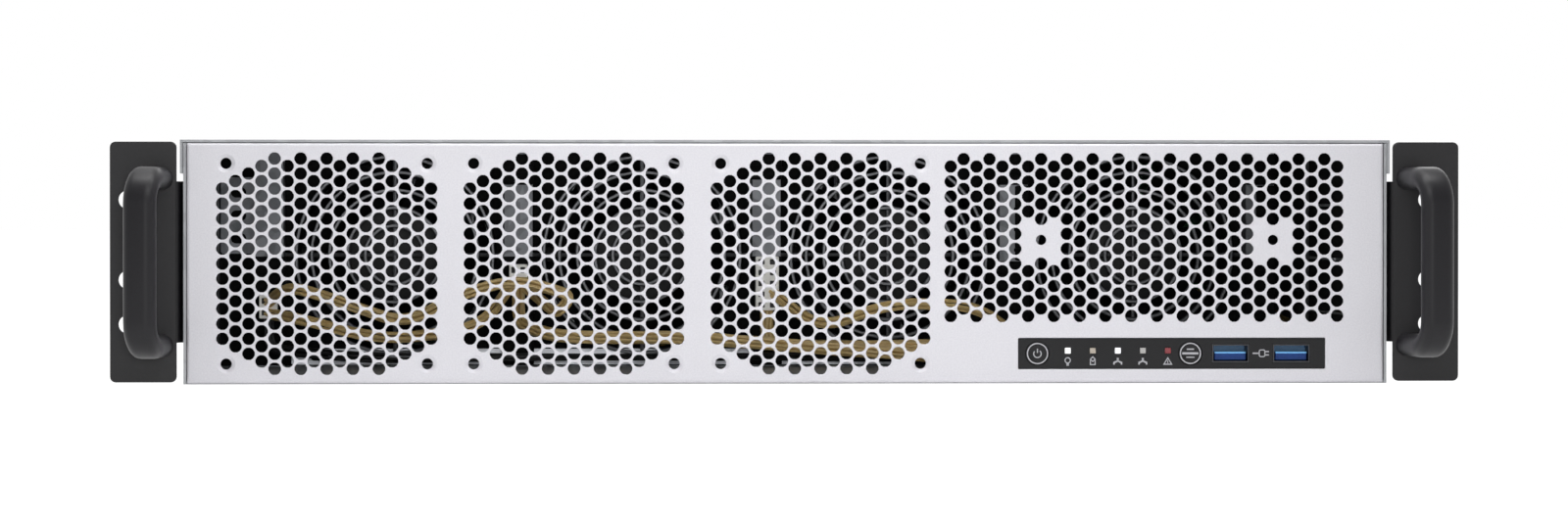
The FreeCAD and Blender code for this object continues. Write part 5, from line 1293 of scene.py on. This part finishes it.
@dataclass
class RearFace:
    """Rear sheet with its ports, card blanks and thumbscrews."""

    knob: float = 4.0
    knob_length: float = 7.0
    knob_profile: tuple[Flat, ...] = ((3.4, 0.0), (4.0, 0.6), (4.0, 6.0), (3.4, 6.6), (2.4, 6.6), (2.2, 5.6),
                                      (0.1, 5.6))
    teeth: int = 20
    tooth: float = 0.3
    shank: float = 1.95
    jacks: tuple[float, ...] = (-4.0, 14.0, 32.0)
    contact: Span = ((-4.0, -10.0, 8.6), (-3.6, -2.5, 9.1))
    contacts: int = 8
    contact_step: float = 1.02
    lamp: Span = ((-1.4, -0.5, 11.3), (1.4, 0.05, 12.9))
    lamp_shift: float = 5.6
    stack: float = -28.0
    decks: Flat = (1.6, 8.8)
    tongue: Span = ((-5.2, -11.8, 2.6), (5.2, -1.2, 4.4))
    video: float = 70.0
    pin_first: Spot = (-4.6, 0.2, 4.0)
    pin_steps: Flat = (2.3, 2.1)
    pin_shifts: tuple[float, ...] = (0.0, 1.15, 0.0)
    pin_profile: tuple[Flat, ...] = ((0.45, 0.0), (0.45, 1.0), (0.2, 1.0))
    pins_in_row: int = 5
    nut_place: Flat = (12.5, 6.3)
    nut_profile: tuple[Flat, ...] = ((2.6, 0.0), (2.6, 3.6), (2.2, 4.0), (1.4, 4.0), (1.3, 1.0), (0.1, 1.0))
    slat_rises: tuple[float, ...] = (57.2, 61.7, 66.2, 70.7)
    slat_half: Flat = (3.5, 0.4)
    slat_depth: float = 3.4
    blanks_in_row: int = 6
    blank_width: float = 17.0
    blank_screw: Flat = (2.6, 1.6)
    blank_screw_drop: float = 6.0
    bead: Span = ((-4.2, -0.1, 10.0), (4.2, 0.35, 11.4))
    beads: int = 9
    bead_step: float = 5.0

    def louvres(self) -> None:
        """Sets slanted slats behind the air slots."""
        low, high = box_of("io_shield")
        (wide, thin), y = self.slat_half, low.y - self.slat_depth
        solid = Solid()
        for rise in self.slat_rises:
            solid.sweep([at(low.x, y, rise), at(high.x, y, rise)],
                        ((-wide, -thin), (wide, -thin), (wide, thin), (-wide, thin)), at(0, 1, 1))
        solid.build("air_slot_louvres", GALVANISED, "galvanised_sheet")

    def thumbscrews(self) -> None:
        """Makes knurled thumbscrews in place of the plain CAD ones."""
        solid = Solid()
        low, high = box_of("cover_thumbscrews")
        z, start = (low.z + high.z) / 2, high.y - self.knob_length
        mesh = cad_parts["cover_thumbscrews"].data
        lefts: list[float] = []
        for x in sorted(vertex.co.x / MM for vertex in mesh.vertices):
            if not lefts or x - lefts[-1] > 4 * self.knob:
                lefts.append(x)
        shank = ((1.6, 0.0), (self.shank, 0.5), (self.shank, start - low.y + 0.1))
        for x in (left + self.knob for left in lefts):
            loops = []
            for radius, along in self.knob_profile:
                cut = self.tooth if radius == self.knob else 0.0
                reaches = [radius - (cut if k % 2 else 0.0) for k in range(2 * self.teeth)]
                loops.append([at(x + reach * math.cos(t), start + along, z + reach * math.sin(t))
                              for reach, t in zip(reaches, turns(2 * self.teeth))])
            solid.skin(loops)
            solid.turned(at(x, low.y, z), at(0, 1, 0), shank, 20)
        solid.build("knurled_thumbscrews", ZINC_PLATE, "screw_steel", "cover", "cover_thumbscrews")

    def ports(self) -> None:
        """Adds contacts, lamps and tongues to the ports."""
        face, top = high_of("network_jacks").y, high_of("motherboard").z
        gold, lamps, blue, pins = Solid(), Solid(), Solid(), Solid()
        for jack in self.jacks:
            for k in range(self.contacts):
                gold.box((jack + k * self.contact_step, face, top), self.contact, 0.05)
            for shift in (-self.lamp_shift, self.lamp_shift):
                lamps.box((jack + shift, face, top), self.lamp)
        for deck in self.decks:
            blue.box((self.stack, face, top + deck), self.tongue)
        (left, out, foot), (step, lift) = self.pin_first, self.pin_steps
        for (row, shift), k in product(enumerate(self.pin_shifts), range(self.pins_in_row)):
            place = at(self.video + left + step * k + shift, face + out, top + foot + lift * row)
            pins.turned(place, at(0, 1, 0), self.pin_profile, 10)
        side, rise = self.nut_place
        for x in (self.video - side, self.video + side):
            pins.turned(at(x, face, top + rise), at(0, 1, 0), self.nut_profile, 6)
        gold.build("jack_contacts", GOLD_PLATE, "brass")
        lamps.build("jack_lamps", LENS_FINISHES[1], "clear_lens")
        blue.build("rear_socket_tongues", BLUE_NYLON, "blue_plastic")
        pins.build("video_pins", NICKEL, "plated_shell")

    def blanks(self) -> None:
        """Adds a screw and pressed beads to each card blank."""
        screws = Solid()
        low, high = box_of("slot_covers")
        step = (high.x - low.x - self.blank_width) / (self.blanks_in_row - 1)
        for i in range(self.blanks_in_row):
            x = low.x + self.blank_width / 2 + i * step
            screws.turned(at(x, high.y, high.z - self.blank_screw_drop), at(0, 1, 0),
                          screw_profile(*self.blank_screw))
            for k in range(self.beads):
                screws.box((x, high.y, low.z + k * self.bead_step), self.bead, 0.3)
        screws.build("blank_screws_and_beads", ZINC_PLATE, "screw_steel")

    def build(self) -> None:
        """Dresses the rear and adds its small parts."""
        dress(GALVANISED, ("rear_panel", "slot_covers"), 0.2)
        dress(NICKEL, ("io_shield", "network_jacks", "rear_ports"), 0.15)
        self.louvres()
        self.thumbscrews()
        self.ports()
        self.blanks()


class Level(Enum):
    """Which of the two power modules."""

    LOWER = "lower"
    UPPER = "upper"


@dataclass
class PowerModule:
    """One sliding power module. Pins have a place across and up from the inlet's middle."""

    level: Level
    bar: float = 4.0
    depth: float = 6.0
    rounding: float = 1.4
    span: float = 20.0
    reach: float = 24.0
    guard_radii: tuple[float, ...] = (5.5, 10.5, 15.5)
    guard_wire: float = 0.7
    screw: Flat = (2.2, 1.4)
    screw_edge: float = 3.5
    pins_at: tuple[Flat, ...] = ((-7.0, -2.0), (0.0, 2.0), (7.0, -2.0))
    pin: Span = ((-1.05, 3.05, -0.05), (1.05, 11.1, 4.05))
    lamp_place: Flat = (40.0, 5.0)
    lamp_profile: tuple[Flat, ...] = ((1.5, 0.0), (1.5, 0.4), (0.9, 0.8), (0.1, 0.9))
    ribs: int = 4
    rib_first: float = 2.2
    rib_step: float = 2.0
    rib_width: float = 0.8
    rib_ends: float = 4.0

    @property
    def body(self) -> str:
        """CAD body of the module."""
        return f"psu_{self.level.value}"

    def handle(self) -> None:
        """Makes the rounded pull handle in place of the chamfered CAD one."""
        node = f"{self.body}_handle"
        foot, middle = low_of(node).y, middle_of(node)
        section = about((0.0, 0.0), (self.depth / 2, self.bar / 2), self.rounding)
        solid = Solid()
        solid.sweep([at(middle.x + along, foot + out, middle.z)
                     for out, along in bow_path(self.reach, self.span, self.bar)], section, at(0, 0, 1))
        solid.build(f"pull_handle_{self.level.value}", BLACK_ABS, "black_plastic", self.body, node)

    def face(self) -> None:
        """Adds the fan guard, the inlet's pins, a lamp, screws and the lever's ribs."""
        body, level = self.body, self.level.value
        low, high = box_of(f"{body}_case")
        rotor, inlet = middle_of(f"{body}_rotor"), middle_of(f"{body}_inlet")
        guard, pins, lamp, ribs = Solid(), Solid(), Solid(), Solid()
        for radius in self.guard_radii:
            guard.ring(at(rotor.x, high.y + 0.3, rotor.z), at(0, 1, 0), radius, self.guard_wire, 40)
        for x in (low.x + self.screw_edge, high.x - self.screw_edge):
            guard.turned(at(x, high.y, high.z - self.screw_edge), at(0, 1, 0), screw_profile(*self.screw))
        guard.build(f"module_guard_{level}", ZINC_PLATE, "screw_steel", body)
        seat = low_of(f"{body}_inlet").y
        for across, up in self.pins_at:
            pins.box((inlet.x + across, seat, inlet.z + up), self.pin, 0.3)
        pins.build(f"inlet_pins_{level}", NICKEL, "plated_shell", body)
        lamp.turned(at(low.x + self.lamp_place[0], high.y, low.z + self.lamp_place[1]), at(0, 1, 0),
                    self.lamp_profile, 20)
        lamp.build(f"module_lamp_{level}", LENS_FINISHES[2], "clear_lens", body)
        low, high = box_of(f"{body}_latch")
        for y in (high.y - self.rib_first - self.rib_step * k for k in range(self.ribs)):
            ribs.block(at(low.x - 0.1, y, low.z + self.rib_ends),
                       at(high.x - 0.05, y + self.rib_width, high.z - self.rib_ends), 0.15)
        ribs.build(f"latch_ribs_{level}", LATCH_NYLON, "latch_plastic", f"{body}_latch")

    def build(self) -> None:
        """Dresses the module and adds its small parts."""
        for part, finish, soft in (("case", GALVANISED, 0.25), ("inlet", SOCKET_PLASTIC, 0.3),
                                   ("latch", LATCH_NYLON, 0.3), ("rotor", FAN_PLASTIC, 0.2)):
            dress(finish, (f"{self.body}_{part}",), soft)
        self.handle()
        self.face()


@dataclass
class Casing:
    """Galvanised tray and cover with their screws and edges."""

    edge_depth: Flat = (0.15, 0.05)
    edge_height: Flat = (0.95, 0.03)
    screw: Flat = (2.6, 0.8)
    screw_setbacks: tuple[float, ...] = (90, 215, 340, 465)
    rivet: float = 2.0
    rivet_setbacks: tuple[float, ...] = (205, 350, 440, 530)
    rivet_rises: Flat = (14, 60)

    def cover_edge(self) -> None:
        """Adds the sheared front edge of the cover."""
        low, high = box_of("top_cover")
        solid = Solid()
        solid.block(at(low.x + 0.1, low.y - self.edge_depth[0], high.z - self.edge_height[0]),
                    at(high.x - 0.1, low.y + self.edge_depth[1], high.z - self.edge_height[1]), 0.03)
        solid.build("cover_front_edge", GALVANISED, "galvanised_sheet", "cover")

    def fasteners(self) -> None:
        """Adds screws to the cover's lips and rivets to the tray's sides."""
        screws, rivets, r = Solid(), Solid(), self.rivet
        low, high = box_of("top_cover")
        for (side, x), setback in product(((-1, low.x), (1, high.x)), self.screw_setbacks):
            screws.turned(at(x, low.y + setback, high.z - 6), at(side, 0, 0), screw_profile(*self.screw))
        screws.build("cover_screws", ZINC_PLATE, "screw_steel", "cover")
        low, high = box_of("chassis_tray")
        head = ((r, 0.0), (0.8 * r, 0.5), (0.4 * r, 0.8), (0.05, 0.85))
        for (side, x), setback, z in product(((-1, low.x), (1, high.x)), self.rivet_setbacks,
                                             self.rivet_rises):
            rivets.turned(at(x, low.y + setback, z), at(side, 0, 0), head, 16)
        rivets.build("side_rivets", ALUMINIUM, "screw_steel")

    def build(self) -> None:
        """Dresses the case and adds its small parts."""
        dress(GALVANISED, ("chassis_tray", "top_cover", "psu_cage"), 0.25)
        dress(SOLDER_MASK, ("psu_backplane",), 0)
        self.cover_edge()
        self.fasteners()


@dataclass
class Studio:
    """Pale floor, soft lamps and the camera of the photograph.

    Lamps have a name, a place, the point that they face, a width and height, and a power in watts.
    """

    camera_place: Spot = (-87, -2269, 62)
    camera_target: Spot = (-1.3, -269, 43.9)
    frame_width: float = 560.4
    sensor: float = 36.0
    clip: Flat = (0.05, 100.0)
    floor_size: float = 30000.0
    ambient: float = 0.34
    room: float = 0.35
    paper: str = "#F4F4F4"
    floor_glow: float = 1.3
    floor_share: float = 0.75
    lamps: tuple[tuple[str, Spot, Spot, Flat, float], ...] = (
        ("front_softbox", (-10, -640, 360), (0, -200, 45), (400, 200), 0.84),
        ("strip_softbox", (0, -320, 560), (0, -300, 45), (800, 160), 2.3),
        ("bay_light", (-20, -240, 74), (-20, -90, 30), (400, 12), 0.07),
        ("camera_fill", (10, -2600, 160), (0, -200, 45), (300, 200), 3.6),
        ("top_softbox", (-200, 0, 1500), (0, -200, 45), (1400, 1400), 8.0),
        ("rear_softbox", (500, 1500, 700), (0, 200, 45), (900, 600), 6.0))

    def aim(self, item: bpy.types.Object, place: Spot, target: Spot) -> float:
        """Places a lamp or camera and turns it to a target.

        Args:
            item: Lamp or camera.
            place: Its middle in millimetres.
            target: Point that it faces.

        Returns:
            Their distance in millimetres.
        """
        gap = at(*target) - at(*place)
        item.location = at(*place) * MM
        item.rotation_euler = gap.to_track_quat("-Z", "Y").to_euler()
        return gap.length

    def light(self) -> None:
        """Sets the world's light and the soft rectangular lamps."""
        world = bpy.data.worlds.new("white_studio")
        tree = empty_tree(world)
        rays = add_node(tree, "ShaderNodeLightPath", {}, {})
        place = add_node(tree, "ShaderNodeTexCoord", {}, {})
        way = add_node(tree, "ShaderNodeSeparateXYZ", {}, {"Vector": place.outputs["Generated"]})
        room = add_node(tree, "ShaderNodeMapRange", {"From Min": -1.0, "To Min": self.room},
                        {"Value": way.outputs["Y"]})
        mirrored = add_node(tree, "ShaderNodeMath", {"operation": "MAXIMUM"},
                            {0: rays.outputs["Is Glossy Ray"], 1: rays.outputs["Is Transmission Ray"]})
        lit = add_node(tree, "ShaderNodeMix", {"data_type": "FLOAT", 2: self.ambient},
                       {0: mirrored.outputs[0], 3: room.outputs["Result"]})
        level = add_node(tree, "ShaderNodeMix", {"data_type": "FLOAT", 3: 1.0},
                         {0: rays.outputs["Is Camera Ray"], 2: lit.outputs[0]})
        sky = add_node(tree, "ShaderNodeBackground", {"Color": WHITE}, {"Strength": level.outputs[0]})
        add_node(tree, "ShaderNodeOutputWorld", {}, {"Surface": sky.outputs["Background"]})
        bpy.context.scene.world = world
        for name, place, target, size, power in self.lamps:
            data = bpy.data.lights.new(name, "AREA")
            data.shape = "RECTANGLE"
            data.size, data.size_y = size[0] * MM, size[1] * MM
            data.energy = power
            lamp = put(name, data)
            lamp.visible_camera = False
            self.aim(lamp, place, target)

    def floor(self) -> None:
        """Makes the pale floor, which keeps the server's shadow."""
        half = self.floor_size / 2 * MM
        mesh = bpy.data.meshes.new("studio_floor")
        mesh.from_pydata([(-half, -half, 0), (half, -half, 0), (half, half, 0), (-half, half, 0)], [],
                         [(0, 1, 2, 3)])
        # Matt white paper: diffuse, with a white of its own for rays that show the background
        material = bpy.data.materials.new("white_paper_sweep")
        tree = empty_tree(material)
        rays = add_node(tree, "ShaderNodeLightPath", {}, {})
        seen = add_node(tree, "ShaderNodeMath", {"operation": "MAXIMUM"},
                        {0: rays.outputs["Is Camera Ray"], 1: rays.outputs["Is Glossy Ray"]})
        shown = add_node(tree, "ShaderNodeMath", {"operation": "MAXIMUM"},
                         {0: seen.outputs[0], 1: rays.outputs["Is Transmission Ray"]})
        share = add_node(tree, "ShaderNodeMapRange", {"To Max": self.floor_share},
                         {"Value": shown.outputs[0]})
        paper = add_node(tree, "ShaderNodeBsdfDiffuse", {"Color": linear(self.paper)}, {})
        white = add_node(tree, "ShaderNodeEmission", {"Color": WHITE, "Strength": self.floor_glow}, {})
        both = add_node(tree, "ShaderNodeMixShader", {}, {
            0: share.outputs["Result"], 1: paper.outputs["BSDF"], 2: white.outputs["Emission"]})
        add_node(tree, "ShaderNodeOutputMaterial", {}, {"Surface": both.outputs["Shader"]})
        mesh.materials.append(material)
        put("studio_floor", mesh)

    def camera(self) -> None:
        """Places the camera in front of the server, a little to its left."""
        data = bpy.data.cameras.new("photo_camera")
        camera = put("photo_camera", data)
        distance = self.aim(camera, self.camera_place, self.camera_target)
        data.sensor_width = self.sensor
        data.lens = self.sensor * distance / self.frame_width
        data.clip_start, data.clip_end = self.clip
        bpy.context.scene.camera = camera

    def build(self) -> None:
        """Sets up the whole studio."""
        bpy.context.scene.view_settings.view_transform = "Standard"
        self.light()
        self.floor()
        self.camera()


def main() -> None:
    """Builds the studio and dresses the server, case first."""
    logging.basicConfig(level=logging.INFO)
    Studio().build()
    for assembly in (Casing(), FrontPanel(), RackEars(), ControlStrip(), FanBay(), Mainboard(), RearFace(),
                     PowerModule(Level.LOWER), PowerModule(Level.UPPER)):
        assembly.build()


if __name__ == "__main__":
    main()
